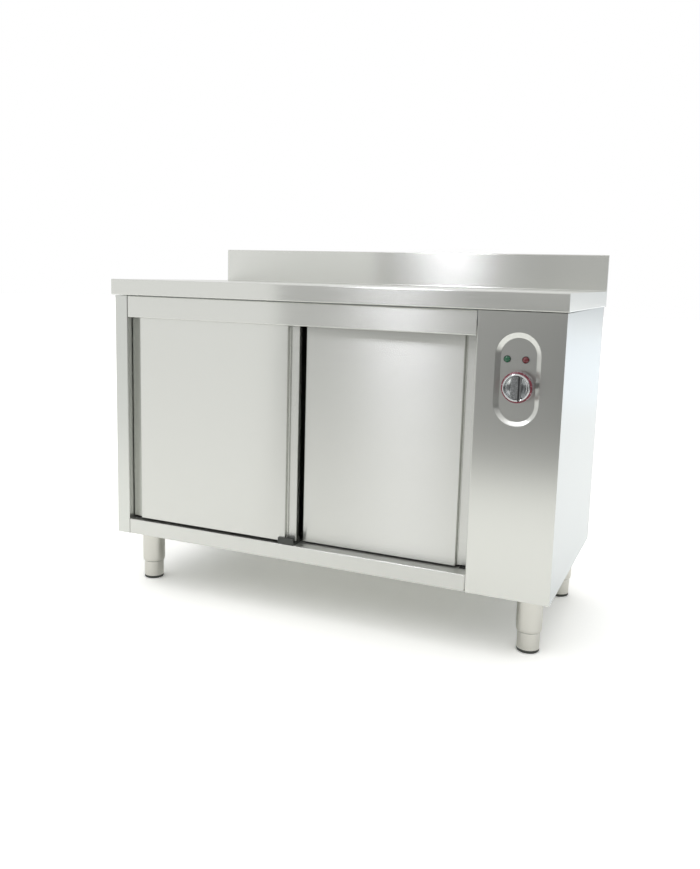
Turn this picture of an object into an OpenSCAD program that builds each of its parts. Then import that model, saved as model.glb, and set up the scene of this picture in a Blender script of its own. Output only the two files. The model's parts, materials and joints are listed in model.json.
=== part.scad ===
// Heated plate cabinet: stainless steel worktop with an upstand, two top-hung sliding doors
// and a control column at the right. X to the right, Y to the back, Z up, in millimetres.
// The origin is on the floor, under the centre of the worktop.

/* [Worktop] */
// Width of the worktop
width = 1200; // [1100:10:1600]
// Depth of the worktop, from its front edge to the back of the upstand
depth = 600; // [560:10:760]
// Height of the worktop above the floor, with the feet as they stand
worktop_h = 843; // [800:1:920]
// Height of the upstand above the worktop
upstand_h = 98; // [50:1:200]
// Thickness of the hollow upstand
upstand_t = 12; // [10:1:25]
// Height of the worktop's folded edge
worktop_edge = 41; // [36:1:60]
// Thickness of the worktop sheet
worktop_sheet = 1.5; // [1.2:0.1:2]
// Width of the fold under the worktop's edge
lip_return = 15; // [10:1:25]
// Thickness of the board under the worktop sheet
board_t = 18; // [12:1:22]

/* [Body] */
// Height of the body's underside above the floor
leg_clear = 147; // [130:1:160]
// How far the worktop stands out past each side of the body
side_overhang = 4; // [2:1:10]
// How far the worktop stands out past the front of the body
front_overhang = 10; // [5:1:20]
// How far the worktop stands out past the back of the body
rear_overhang = 10; // [5:1:20]
// Thickness of the body's sheet
panel_sheet = 1.2; // [0.8:0.1:1.5]
// Outer radius of the sheet's bends
bend_r = 2.5; // [1.8:0.1:3]
// Width of the post at the left of the doors
post_w = 40; // [36:1:60]
// Depth of the post's and the column's inner return
post_return = 13; // [8:1:20]
// Width of the control column
column_w = 196; // [190:2:240]
// Height of the panel above the doors
fascia_h = 59; // [55:1:80]
// Height of the rail below the doors
rail_h = 41; // [38:1:60]
// Gap at each end of the fascia and the rail
panel_gap = 1.5; // [1:0.5:4]

/* [Doors] */
// How far the two closed doors overlap
door_overlap = 56; // [50:2:80]
// Thickness of a door
door_t = 26; // [22:1:28]
// Thickness of a door's sheet
door_sheet = 1; // [0.8:0.1:1.2]
// Width of the sunken grip down a door's outer side
grip_w = 34; // [30:1:45]
// Width of the sunken grip down the front door's overlapping side
inner_grip_w = 25.5; // [24:0.5:30]
// Width of the sunken strip of the rear door that the front door covers
covered_w = 65; // [50:1:70]
// Depth of the sunken grip
grip_depth = 13; // [8:0.5:14]
// Clearance between the front door and the rear door
lane_gap = 6.5; // [4:0.5:6.5]
// How far the front door stands behind the body's front
door_setback = 6; // [5:0.5:10]
// Clearance between a door and the rail
door_floor_gap = 7.5; // [6:0.5:14]
// How far the doors reach up behind the fascia
door_hide = 20; // [15:1:24]
// Gap between a closed door and the side it closes on, which the bumper fills
door_side_gap = 2; // [1:0.5:4]
// Diameter of the door rollers
roller_d = 16; // [14:1:18]
// Height of the door track
track_h = 24; // [23:1:26]
// Length of the guide block between the doors
guide_len = 44; // [30:2:56]

/* [Legs] */
// Distance from the body's side to the middle of a leg
leg_inset_x = 58; // [52:1:80]
// Distance from the body's front or back to the middle of a leg
leg_inset_y = 86; // [60:1:120]
// Outer diameter of the upper leg tube
leg_d = 62; // [58:1:66]
// Outer diameter of the foot that slides inside it
foot_d = 54; // [48:1:54]
// How much of the foot shows below the leg tube
foot_show = 50; // [35:1:60]
// Height of the plastic glide under the foot
glide_h = 11; // [5:1:12]

/* [Chamber] */
// Height of the shelf's surface above the chamber floor
shelf_rise = 295; // [150:5:420]
// Height of the shelf's folded edge
shelf_edge = 30; // [20:1:40]
// Distance of the shelf behind the doors
shelf_setback = 15; // [5:1:60]

/* [Controls] */
// Width of the sunken control pan
pan_w = 103; // [98:1:120]
// Height of the sunken control pan
pan_h = 211; // [190:1:230]
// Depth of the sunken control pan
pan_depth = 5; // [3:0.5:8]
// Width of the pan's sloping wall
pan_slope = 11.5; // [8:0.5:12]
// Distance from the body's top to the pan's top
pan_drop = 46; // [40:1:80]
// How far the knob's middle lies below the pan's middle
knob_drop = 15; // [10:1:25]
// Diameter of the knob
knob_d = 61; // [56:1:64]
// How far the knob stands out of the pan's floor
knob_proud = 25; // [18:1:30]
// Diameter of the scale ring behind the knob
dial_d = 69; // [66:1:74]
// Height of the lamps above the pan's middle
lamp_rise = 45; // [42:1:55]
// Distance between the two lamps
lamp_pitch = 41; // [30:1:42]
// Shift of the pair of lamps to the left of the pan's middle
lamp_shift = 5; // [0:0.5:6]
// Diameter of a lamp's lens
lamp_d = 14; // [12:1:16]

/* [Fan heater] */
// Diameter of the fan wheel
fan_d = 130; // [100:5:140]
// Width of the square fan housing
housing_w = 200; // [196:2:230]
// Depth of the fan housing
housing_d = 55; // [50:1:65]
// Height of the fan's axle above the chamber floor
fan_rise = 175; // [130:5:300]

/* [Hidden] */
$fn = 48;

// Colours, as the finished pieces look
STEEL = "#c9cbc6";
GALVANISED = "#a9adad";
NYLON = "#3f423c";
CHROME = "#dcdfe0";
WOOL = "#b59f5b";

// Body planes
body_x = width / 2 - side_overhang;
front_y = -depth / 2 + front_overhang;
rear_y = depth / 2 - rear_overhang;
body_z0 = leg_clear;
body_z1 = worktop_h - worktop_edge;
t = panel_sheet;
side_inner_x = body_x - t;
rear_inner_y = rear_y - t;
flange_w = 25;
flange_inner_y = rear_inner_y - t;
under_top_z = body_z1 - t;
bend_clear = bend_r;
screw_r = 2;
hole_gap = 0.1;
rear_screw_len = 2 * t + 4;
rear_screw_end = 40;
bond_r = 3;
bond_x = body_x - 60;
bond_z = body_z0 + 60;

// Door opening
open_x0 = -body_x + post_w;
open_x1 = body_x - column_w;
return_y = front_y + post_return;
rail_top = body_z0 + rail_h;
fascia_low = body_z1 - fascia_h;
door_w = (open_x1 - open_x0 - 2 * door_side_gap + door_overlap) / 2;
door_z0 = rail_top + door_floor_gap;
door_z1 = fascia_low + door_hide;
left_door_x = open_x0 + door_side_gap;
right_door_x = open_x1 - door_side_gap - door_w;
lane_pitch = door_t + lane_gap;
FRONT_LANE = 0;
REAR_LANE = 1;
door_bend_r = 2;

// Door gear
track_t = 1.5;
track_slot = 8;
track_z0 = under_top_z - track_h;
track_front_y = lane_y(FRONT_LANE) - lane_gap / 2;
track_rear_y = track_front_y + 2 * lane_pitch;
roller_w = 5.4;
roller_in = 4.6;
axle_r = 2;
running = 0.05;
roller_lift = 0.1;
axle_z = track_z0 + track_t + roller_lift + roller_d / 2;
hanger_t = 3;
hanger_w = 30;
hanger_foot = 50;
hanger_inset = 95;
guide_past = 1;
guide_base = door_floor_gap - 2;
guide_cover = 9;
guide_wall = 4.5;
bumper_w = 26;
bumper_h = guide_base + 9;
bumper_y = front_y + 25;

// Chamber
shelf_z = rail_top + shelf_rise;
shelf_gap = 4;
shelf_y0 = track_rear_y + shelf_setback;
shelf_y1 = rear_inner_y - 9;
bracket_w = 20;
bracket_h = 25;
ceiling_z = track_z0;

// Legs
leg_x = body_x - leg_inset_x;
leg_y0 = front_y + leg_inset_y;
leg_y1 = rear_y - leg_inset_y;
channel_w = 90;
channel_t = 2;
channel_z = body_z0 + 5;
plate_w = 80;
plate_t = 3;
plate_z = channel_z - plate_t;
plate_bolt = 30;
tube_t = 1.5;
tube_lip = 9;
insert_h = 10;
stud_r = 8;
foot_reach = 28;
foot_top = foot_show + foot_reach;
insert_z = foot_top + 12;
stud_top = insert_z + insert_h + 18;
bolt_r = 4;
bolt_gap = 0.25;
bolt_nut_r = 7;

// Controls
column_x = (open_x1 + body_x) / 2;
pan_x = column_x - 2.5;
pan_z = body_z1 - pan_drop - pan_h / 2;
pan_y = front_y + pan_depth;
knob_z = pan_z - knob_drop;
lamp_z = pan_z + lamp_rise;
dial_t = 0.8;
knob_gap = 0.5;
knob_y = pan_y - dial_t - knob_gap;
knob_h = knob_proud - dial_t - knob_gap;
shaft_r = 3;
bush_r = 5;
bush_len = 2.2;
shaft_grip = 10;
thermostat_w = 46;
thermostat_depth = 38;
thermostat_y = pan_y + t;
lamp_stem_r = 5.5;
bulb_r = 3;
bulb_len = 80;
bulb_x = open_x1 - bulb_r - 3;
bulb_y = rear_y - 90;
bulb_z = ceiling_z - 60;
capillary_r = 1;
capillary_z = bulb_z + bulb_len / 2 + 10;

// Fan heater
column_in = open_x1 + t;
fan_y = rear_y - 190;
fan_z = rail_top + fan_rise;
housing_back = column_in + housing_d;
motor_gap = 3;
motor_x = housing_back + motor_gap;
motor_r = 38;
motor_len = 60;
fan_axle_r = 4;
element_r = housing_w / 2 - 18;
element_tube_r = 4;
ELEMENT_GAP = 6;
slot_w = 3.6;
slot_pitch = 12;
gland_x = column_in + 45;
gland_y = rear_y - 50;
gland_bore_r = 4.75;
gland_thread_r = 10;
gland_nut_r = 14;

// ---- Sheet metal ---------------------------------------------------------------------------

// Direction from one point to the next.
function dir(a, b) = (b - a) / norm(b - a);

// A direction turned a quarter turn to the left.
function left_of(d) = [-d[1], d[0]];

// A direction turned by an angle.
function turned(v, a) = [v[0] * cos(a) - v[1] * sin(a), v[0] * sin(a) + v[1] * cos(a)];

// The rounded corner at p, between its neighbours a and b.
function bend(a, p, b, r, steps = 3) =
    let (d0 = dir(a, p), d1 = dir(p, b),
         turn = atan2(d0[0] * d1[1] - d0[1] * d1[0], d0 * d1),
         side = sign(turn),
         centre = p - r * tan(abs(turn) / 2) * d0 + side * r * left_of(d0))
    [for (k = [0 : steps]) centre - side * r * turned(left_of(d0), turn * k / steps)];

// An open path with every corner bent to radius r.
function bent(path, r) =
    let (last = len(path) - 1)
    concat([path[0]],
           [for (i = [1 : last - 1]) each bend(path[i - 1], path[i], path[i + 1], r)],
           [path[last]]);

// The second face of a sheet at one point: both legs, moved left by the sheet's thickness.
function mitred(p, d0, d1, thick) =
    p + thick * (left_of(d0) + left_of(d1)) / (1 + d0 * d1);

// The closed outline of a sheet that follows a path, with its metal to the left of the path.
function sheet_outline(path, thick) =
    let (last = len(path) - 1)
    concat(path, [for (i = [last : -1 : 0])
        let (d0 = i == 0 ? dir(path[0], path[1]) : dir(path[i - 1], path[i]),
             d1 = i == last ? d0 : dir(path[i], path[i + 1]))
        mitred(path[i], d0, d1, thick)]);

// Section of a folded sheet: the path is the face seen from outside.
module sheet(path, thick = t, r = bend_r) {
    polygon(sheet_outline(bent(path, r), thick));
}

// Extrusions along each axis: the outline's own axes are Y-Z, X-Z and X-Y.
module along_x(x0, x1) {
    translate([x0, 0, 0]) rotate([90, 0, 90]) linear_extrude(x1 - x0) children();
}

module along_y(y0, y1) {
    translate([0, y1, 0]) rotate([90, 0, 0]) linear_extrude(y1 - y0) children();
}

module along_z(z0, z1) {
    translate([0, 0, z0]) linear_extrude(z1 - z0) children();
}

// A block between two corners.
module block(lo, hi) {
    translate(lo) cube(hi - lo);
}

// Round bars along each axis.
module bar_x(x0, x1, r, y, z) {
    translate([x0, y, z]) rotate([0, 90, 0]) cylinder(h = x1 - x0, r = r);
}

module bar_y(y0, y1, r, x, z) {
    translate([x, y1, z]) rotate([90, 0, 0]) cylinder(h = y1 - y0, r = r);
}

module bar_z(z0, z1, r, x, y) {
    translate([x, y, z0]) cylinder(h = z1 - z0, r = r);
}

// Upright hexagon, as a bolt head or a nut, of a given radius over its corners.
module hexagon(z0, z1, r) {
    translate([0, 0, z0]) cylinder(h = z1 - z0, r = r, $fn = 6);
}

// The same on the other side of the YZ plane.
module both_sides() {
    children();
    mirror([1, 0, 0]) children();
}

// ---- Worktop -------------------------------------------------------------------------------

// One folded sheet, from the return under the upstand round to the return under the front
// edge, with the side edges and the upstand's ends welded in.
module worktop() {
    back_y = depth / 2;
    face_y = back_y - upstand_t;
    top_z = worktop_h + upstand_h;
    s = worktop_sheet;
    color(STEEL) {
        along_x(-width / 2, width / 2) sheet([
            [back_y - lip_return, body_z1], [back_y, body_z1], [back_y, top_z], [face_y, top_z],
            [face_y, worktop_h], [-back_y, worktop_h], [-back_y, body_z1],
            [-back_y + lip_return, body_z1]], s);
        both_sides() {
            along_y(-back_y + s, back_y - s) sheet([
                [-width / 2, worktop_h - s / 2], [-width / 2, body_z1],
                [-width / 2 + lip_return, body_z1]], s);
            block([-width / 2, face_y + s / 2, worktop_h - s],
                  [-width / 2 + s, back_y - s / 2, top_z - s / 2]);
        }
    }
}

// Board glued under the worktop sheet, which stops it from drumming.
module worktop_board() {
    clear = worktop_sheet + bend_r;
    top = worktop_h - worktop_sheet;
    color("#b08d5c")
        block([-width / 2 + clear, -depth / 2 + clear, top - board_t],
              [width / 2 - clear, depth / 2 - clear, top]);
}

// Hat-shaped stiffeners between the board and the body's top.
module worktop_stiffeners() {
    foot = body_z1 + t;
    top = worktop_h - worktop_sheet - board_t;
    reach = depth / 2 - lip_return - 2;
    hat = 25;
    brim = 45;
    color(GALVANISED)
        for (x = [-1, 0, 1] * width / 4)
            translate([x, 0, 0]) along_y(-reach, reach) sheet([
                [brim, foot], [hat, foot], [hat, top], [-hat, top], [-hat, foot], [-brim, foot]]);
}

// ---- Body ----------------------------------------------------------------------------------

// Flange along a side panel's top edge.
module side_top_flange() {
    block([-body_x + t / 2, front_y + 3 * t, under_top_z],
          [-body_x + flange_w, rear_inner_y - t, body_z1]);
}

// Places of the rear panel's screws, four down each side.
module at_rear_screws() {
    low = rail_top + rear_screw_end;
    high = body_z1 - rear_screw_end;
    for (side = [-1, 1], k = [0 : 3])
        translate([side * (body_x - flange_w / 2), rear_y, low + k * (high - low) / 3])
            rotate([90, 0, 0]) children();
}

module rear_screw_holes() {
    at_rear_screws() translate([0, 0, -1]) cylinder(h = 3 * t + 1, r = screw_r + hole_gap);
}

// Side, front post and rear flange folded from one sheet.
module left_side_panel() {
    color(STEEL) difference() {
        union() {
            along_z(body_z0, body_z1) sheet([
                [-body_x + flange_w, rear_inner_y], [-body_x, rear_inner_y], [-body_x, front_y],
                [open_x0, front_y], [open_x0, return_y]]);
            side_top_flange();
        }
        rear_screw_holes();
    }
}

// Chamber wall behind the left post, flush with the post's return.
module left_inner_panel() {
    color(STEEL) block([open_x0 - t, return_y, rail_top], [open_x0, rear_inner_y, under_top_z]);
}

// Right side, with the flange that the column's front covers.
module right_side_panel() {
    seat_y = front_y + t;
    color(STEEL) difference() {
        union() {
            along_z(body_z0, body_z1) sheet([
                [body_x - flange_w, seat_y], [body_x, seat_y], [body_x, rear_inner_y],
                [body_x - flange_w, rear_inner_y]]);
            mirror([1, 0, 0]) side_top_flange();
        }
        rear_screw_holes();
    }
}

// Upright racetrack frustum that narrows from the panel's face to the pan's floor.
module racetrack(grow, depth_) {
    r0 = pan_w / 2 + grow;
    r1 = r0 - pan_slope * depth_ / pan_depth;
    half = (pan_h - pan_w) / 2;
    for (side = [-1, 1])
        translate([pan_x, front_y, pan_z + side * half]) rotate([-90, 0, 0])
            cylinder(h = depth_, r1 = r0, r2 = r1);
    along_z(pan_z - half, pan_z + half)
        translate([pan_x, front_y])
            polygon([[-r0, 0], [r0, 0], [r1, depth_], [-r1, depth_]]);
}

// Places of the two lamps, side -1 for green and 1 for red.
function lamp_x(side) = pan_x - lamp_shift + side * lamp_pitch / 2;

// Removable front of the control column, with the pressed pan that carries the controls.
module control_column_front() {
    top_reach = 20;
    color(STEEL) difference() {
        union() {
            along_z(body_z0, body_z1) sheet([
                [open_x1, return_y], [open_x1, front_y], [body_x, front_y]]);
            for (z = [body_z0, body_z1 - t])
                block([open_x1 + t / 2, front_y + t / 2, z],
                      [body_x - flange_w - 1, front_y + top_reach, z + t]);
            difference() {
                racetrack(t, pan_depth + t);
                translate([0, -1, 0]) block([open_x1, front_y, body_z0], [body_x, front_y + 1, body_z1]);
            }
        }
        racetrack(0, pan_depth);
        translate([0, -1, 0]) racetrack(pan_slope / pan_depth, 1 + t);
        bar_y(pan_y - 1, pan_y + t + 1, bush_r + hole_gap, column_x, knob_z);
        for (side = [-1, 1])
            bar_y(pan_y - 1, pan_y + t + 1, lamp_stem_r + hole_gap, lamp_x(side), lamp_z);
    }
}

// Rows of slots through the partition, in front of the fan and of the heater ring.
module partition_slots() {
    inlet_len = 60;
    outlet_len = 24;
    module row(y, z, len) {
        block([open_x1 - 1, y - len / 2, z - slot_w / 2],
              [open_x1 + t + 1, y + len / 2, z + slot_w / 2]);
    }
    for (k = [-3 : 3])
        row(fan_y, fan_z + k * slot_pitch, inlet_len);
    for (side = [-1, 1], k = [-6 : 6])
        row(fan_y + side * element_r, fan_z + k * slot_pitch, outlet_len);
}

// Wall between the chamber and the control column.
module partition_panel() {
    color(STEEL) difference() {
        block([open_x1, return_y, rail_top], [open_x1 + t, rear_inner_y, under_top_z]);
        partition_slots();
        bar_x(open_x1 - 1, open_x1 + t + 1, capillary_r + 0.5, bulb_y, capillary_z);
    }
}

// Back of the body, screwed to the side panels, with cooling slots for the column.
module rear_panel() {
    flange_end = body_x - flange_w - 5;
    vent_low = body_z1 - 160;
    vent_half = 30;
    color(STEEL) difference() {
        union() {
            block([-body_x, rear_inner_y, body_z0], [body_x, rear_y, body_z1]);
            block([-flange_end, rear_inner_y - flange_w, under_top_z],
                  [flange_end, rear_inner_y + t / 2, body_z1]);
        }
        rear_screw_holes();
        for (k = [0 : 7])
            block([column_x - vent_half, rear_inner_y - 1, vent_low + k * slot_pitch],
                  [column_x + vent_half, rear_y + 1, vent_low + k * slot_pitch + slot_w]);
        bar_y(rear_inner_y - 1, rear_y + 1, bond_r + hole_gap, bond_x, bond_z);
    }
}

// Chamber floor and front rail, folded from one sheet.
module base_tray() {
    rear_drop = 30;
    lap = 10;
    floor_y = return_y + 0.5;
    color(STEEL) difference() {
        union() {
            along_x(-side_inner_x + bend_clear, side_inner_x - bend_clear) sheet([
                [flange_inner_y, rail_top - rear_drop], [flange_inner_y, rail_top],
                [floor_y, rail_top]]);
            along_x(open_x0 + panel_gap, open_x1 - panel_gap) sheet([
                [floor_y + lap, rail_top], [front_y, rail_top], [front_y, body_z0],
                [front_y + lip_return, body_z0]]);
        }
        bar_z(rail_top - t - 1, rail_top + 1, gland_thread_r + hole_gap, gland_x, gland_y);
    }
}

// Corners of the square on which a leg's bolts stand.
module at_leg_bolts() {
    for (x = [-leg_x, leg_x], y = [leg_y0, leg_y1], dx = [-1, 1], dy = [-1, 1])
        translate([x + dx * plate_bolt, y + dy * plate_bolt, 0]) children();
}

// Two channels under the tray, which carry the legs.
module leg_channels() {
    top = rail_top - t;
    color(GALVANISED) difference() {
        both_sides()
            along_y(front_y + 20, flange_inner_y - t - bend_clear) sheet([
                [leg_x - channel_w / 2, top], [leg_x - channel_w / 2, channel_z],
                [leg_x + channel_w / 2, channel_z], [leg_x + channel_w / 2, top]], channel_t);
        at_leg_bolts() bar_z(channel_z - 1, channel_z + channel_t + 1, bolt_r + bolt_gap, 0, 0);
    }
}

// Panel above the doors, with the flange that carries the track.
module top_fascia() {
    color(STEEL)
        along_x(open_x0 + panel_gap, open_x1 - panel_gap) sheet([
            [track_rear_y + 8, body_z1], [front_y, body_z1], [front_y, fascia_low],
            [front_y + door_setback - 2, fascia_low]]);
}

// Ceiling of the chamber, hooked up behind the track.
module ceiling_panel() {
    color(STEEL)
        along_x(open_x0, open_x1) sheet([
            [track_rear_y, under_top_z], [track_rear_y, ceiling_z], [rear_inner_y, ceiling_z]]);
}

// Mineral wool over the ceiling and behind the left inner panel.
module insulation() {
    color(WOOL) {
        block([-side_inner_x + bend_clear, return_y, rail_top],
              [open_x0 - t, rear_y - rear_screw_len - 1, under_top_z]);
        block([open_x0, track_rear_y + t + bend_clear, ceiling_z + t],
              [open_x1, rear_inner_y - 1, under_top_z]);
    }
}

// Shelf with folded edges all round.
module middle_shelf() {
    x = open_x0 + shelf_gap;
    x1 = open_x1 - shelf_gap;
    low = shelf_z - shelf_edge;
    hem = 12;
    color(STEEL) {
        along_x(x, x1) sheet([
            [shelf_y1 - hem, low], [shelf_y1, low], [shelf_y1, shelf_z], [shelf_y0, shelf_z],
            [shelf_y0, low], [shelf_y0 + hem, low]]);
        along_y(shelf_y0 + t, shelf_y1 - t) {
            sheet([[x, shelf_z - t / 2], [x, low], [x + hem, low]]);
            sheet([[x1 - hem, low], [x1, low], [x1, shelf_z - t / 2]]);
        }
    }
}

// Angles on both chamber walls, on which the shelf lies.
module shelf_supports() {
    top = shelf_z - shelf_edge;
    color(STEEL) along_y(shelf_y0 + 5, shelf_y1) {
        sheet([[open_x0 + bracket_w, top], [open_x0, top], [open_x0, top - bracket_h]], 1.5);
        sheet([[open_x1, top - bracket_h], [open_x1, top], [open_x1 - bracket_w, top]], 1.5);
    }
}

// Screws of the rear panel, and the bonding stud with its nuts.
module panel_screws() {
    head_r = 2 * screw_r;
    head_h = 2.4;
    nut_h = 5;
    nut_r = 5.8;
    stud_out = 4;
    color(CHROME) {
        at_rear_screws() {
            translate([0, 0, -head_h]) cylinder(h = head_h, r1 = head_r - 1, r2 = head_r);
            cylinder(h = rear_screw_len, r = screw_r);
        }
        bar_y(rear_inner_y - nut_h - stud_out + 1, rear_y + nut_h + stud_out, bond_r, bond_x, bond_z);
        for (y = [rear_inner_y, rear_y + nut_h])
            translate([bond_x, y, bond_z]) rotate([90, 0, 0]) hexagon(0, nut_h, nut_r);
    }
}

// ---- Legs and feet -------------------------------------------------------------------------

// Upper leg: tube with its lower edge rolled in round the foot, nut insert and top plate.
module leg_tube(x, y) {
    r = leg_d / 2;
    lip_r = foot_d / 2 + running;
    roll = r - lip_r;
    color(STEEL) translate([x, y, 0]) difference() {
        union() {
            rotate_extrude() {
                polygon(concat(
                    [[lip_r, foot_show], [lip_r + tube_t, foot_show]],
                    [for (a = [0 : 15 : 90])
                        [lip_r + tube_t + (roll - tube_t) * sin(a),
                         foot_show + tube_lip * (1 - cos(a))]],
                    [[r, plate_z], [r - tube_t, plate_z], [r - tube_t, foot_show + tube_lip + 1],
                     [lip_r, foot_show + tube_t]]));
                translate([stud_r + running, insert_z])
                    square([r - tube_t / 2 - stud_r - running, insert_h]);
            }
            block([-plate_w / 2, -plate_w / 2, plate_z], [plate_w / 2, plate_w / 2, channel_z]);
        }
        for (dx = [-1, 1], dy = [-1, 1])
            bar_z(plate_z - 1, channel_z + 1, bolt_r + bolt_gap, dx * plate_bolt, dy * plate_bolt);
    }
}

// Bolts that hold the leg plates to the channels, with their nuts.
module leg_bolts() {
    web = channel_z + channel_t;
    head_h = 5;
    nut_h = 6;
    color(GALVANISED) at_leg_bolts() {
        hexagon(plate_z - head_h, plate_z, bolt_nut_r);
        bar_z(plate_z - 1, web + nut_h + 1, bolt_r, 0, 0);
        hexagon(web, web + nut_h, bolt_nut_r);
    }
}

// Foot: closed tube with the threaded stud that screws into the leg's insert.
module foot_tube(x, y) {
    r = foot_d / 2;
    color(STEEL) translate([x, y, 0]) rotate_extrude() polygon([
        [r - tube_t, glide_h], [r, glide_h], [r, foot_top], [stud_r, foot_top], [stud_r, stud_top - 2],
        [stud_r - 2, stud_top], [0, stud_top], [0, foot_top - 4], [r - tube_t, foot_top - 4]]);
}

// Plastic glide that plugs the foot's lower end.
module foot_glide(x, y) {
    r = foot_d / 2;
    plug_r = r - tube_t - running;
    color(NYLON) translate([x, y, 0]) rotate_extrude() polygon([
        [0, 0], [r - 2.5, 0], [r - 0.8, 1.2], [r, 3], [r, glide_h], [plug_r, glide_h],
        [plug_r, glide_h + 8], [0, glide_h + 8]]);
}

// ---- Doors ---------------------------------------------------------------------------------

// Front face of the doors in a lane, and the middle of that lane.
function lane_y(lane) = front_y + door_setback + lane * lane_pitch;
function lane_mid(lane) = lane_y(lane) + door_t / 2;

// Left and right edge of a door's raised face. The doors overlap at their inner grips.
function raised_x0(x, lane) = x + (lane == FRONT_LANE ? grip_w : covered_w);
function raised_x1(x, lane) = x + door_w - (lane == FRONT_LANE ? inner_grip_w : grip_w);

// Front face of a door, with its sunken grips, as seen from above.
function door_face(x, lane) =
    let (y = lane_y(lane), floor_y = y + grip_depth, end_y = y + door_t - door_sheet,
         x0 = raised_x0(x, lane), x1 = raised_x1(x, lane))
    [[x, end_y], [x, floor_y], [x0, floor_y], [x0, y], [x1, y], [x1, floor_y],
     [x + door_w, floor_y], [x + door_w, end_y]];

// Outer skin: raised face, grips and closed ends.
module door_skin(x, lane) {
    color(STEEL) {
        along_z(door_z0, door_z1) sheet(door_face(x, lane), door_sheet, door_bend_r);
        for (z = [door_z0, door_z1 - door_sheet])
            along_z(z, z + door_sheet) polygon(bent(door_face(x, lane), door_bend_r));
    }
}

// Flat inner skin.
module door_liner(x, lane) {
    y = lane_y(lane) + door_t;
    color(STEEL) block([x, y - door_sheet, door_z0], [x + door_w, y, door_z1]);
}

// Mineral wool between the skins, behind the raised face.
module door_core(x, lane) {
    y = lane_y(lane);
    clear = door_sheet + door_bend_r;
    color(WOOL)
        block([raised_x0(x, lane) + clear, y + door_sheet, door_z0 + door_sheet],
              [raised_x1(x, lane) - clear, y + door_t - door_sheet, door_z1 - door_sheet]);
}

// Middles of a door's two hangers.
function hanger_x(x, side) = x + door_w / 2 + side * (door_w / 2 - hanger_inset);

// Hangers on the door's top edge: a foot, and a blade that rises through the track's slot.
module door_hangers(x, lane) {
    y = lane_mid(lane);
    foot_half = 7;
    above_axle = 5;
    color(GALVANISED)
        for (side = [-1, 1])
            translate([hanger_x(x, side), y, 0]) difference() {
                union() {
                    block([-hanger_foot / 2, -foot_half, door_z1],
                          [hanger_foot / 2, foot_half, door_z1 + hanger_t]);
                    block([-hanger_w / 2, -hanger_t / 2, door_z1],
                          [hanger_w / 2, hanger_t / 2, axle_z + above_axle]);
                }
                bar_y(-hanger_t, hanger_t, axle_r + running, 0, axle_z);
            }
}

// Roller: an axle with a wheel on each side of the hanger's blade.
module door_roller(x, lane) {
    half = roller_in + roller_w;
    r = roller_d / 2;
    crown = 0.6;
    color("#e4e2da") translate([x, lane_mid(lane), axle_z]) rotate([90, 0, 0]) {
        translate([0, 0, -half]) cylinder(h = 2 * half, r = axle_r);
        for (side = [0, 1])
            mirror([0, 0, side]) translate([0, 0, roller_in]) rotate_extrude() polygon([
                [0, 0], [r - crown, 0], [r, crown], [r, roller_w - crown], [r - crown, roller_w],
                [0, roller_w]]);
    }
}

// Track for both doors: two lipped channels side by side.
module door_track() {
    color(GALVANISED)
        along_x(open_x0, open_x1) difference() {
            translate([track_front_y, track_z0]) square([2 * lane_pitch, track_h]);
            for (lane = [FRONT_LANE, REAR_LANE]) {
                translate([lane_mid(lane) - lane_pitch / 2 + track_t, track_z0 + track_t])
                    square([lane_pitch - 2 * track_t, track_h - 2 * track_t]);
                translate([lane_mid(lane) - track_slot / 2, track_z0 - 1])
                    square([track_slot, track_t + 2]);
            }
        }
}

// Nylon block on the rail that keeps the lower edges of both doors in their lanes.
module door_guide_block() {
    x1 = left_door_x + door_w + guide_past;
    base_y0 = front_y + 0.5;
    wall_y = lane_y(REAR_LANE) + door_t + 1;
    top = door_z0 + guide_cover;
    color(NYLON)
        along_x(x1 - guide_len, x1) union() {
            translate([base_y0, rail_top]) square([wall_y + guide_wall - base_y0, guide_base]);
            translate([base_y0, rail_top])
                square([lane_y(FRONT_LANE) - 1 - base_y0, top - rail_top]);
            translate([lane_y(REAR_LANE) - lane_gap + 1, rail_top])
                square([lane_gap - 2, top - rail_top]);
            translate([wall_y, rail_top]) square([guide_wall, top - rail_top]);
        }
}

// Rubber bumpers at both ends of the rail: a foot under the doors and a pad they close on.
module door_stops() {
    y0 = bumper_y;
    y1 = track_rear_y;
    color("#20211f") {
        for (end = [[open_x0, 1], [open_x1, -1]])
            translate([end[0], 0, 0]) mirror([end[1] < 0 ? 1 : 0, 0, 0]) {
                block([0, y0, rail_top], [bumper_w, y1, rail_top + guide_base]);
                block([0, y0, rail_top], [door_side_gap, y1, rail_top + bumper_h]);
            }
    }
}

// ---- Controls ------------------------------------------------------------------------------

// Scale ring that lies on the pan's floor.
module dial_ring() {
    dial_hole_r = 14;
    color(CHROME) difference() {
        bar_y(pan_y - dial_t, pan_y, dial_d / 2, column_x, knob_z);
        bar_y(pan_y - dial_t - 1, pan_y + 1, dial_hole_r, column_x, knob_z);
    }
}

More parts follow.
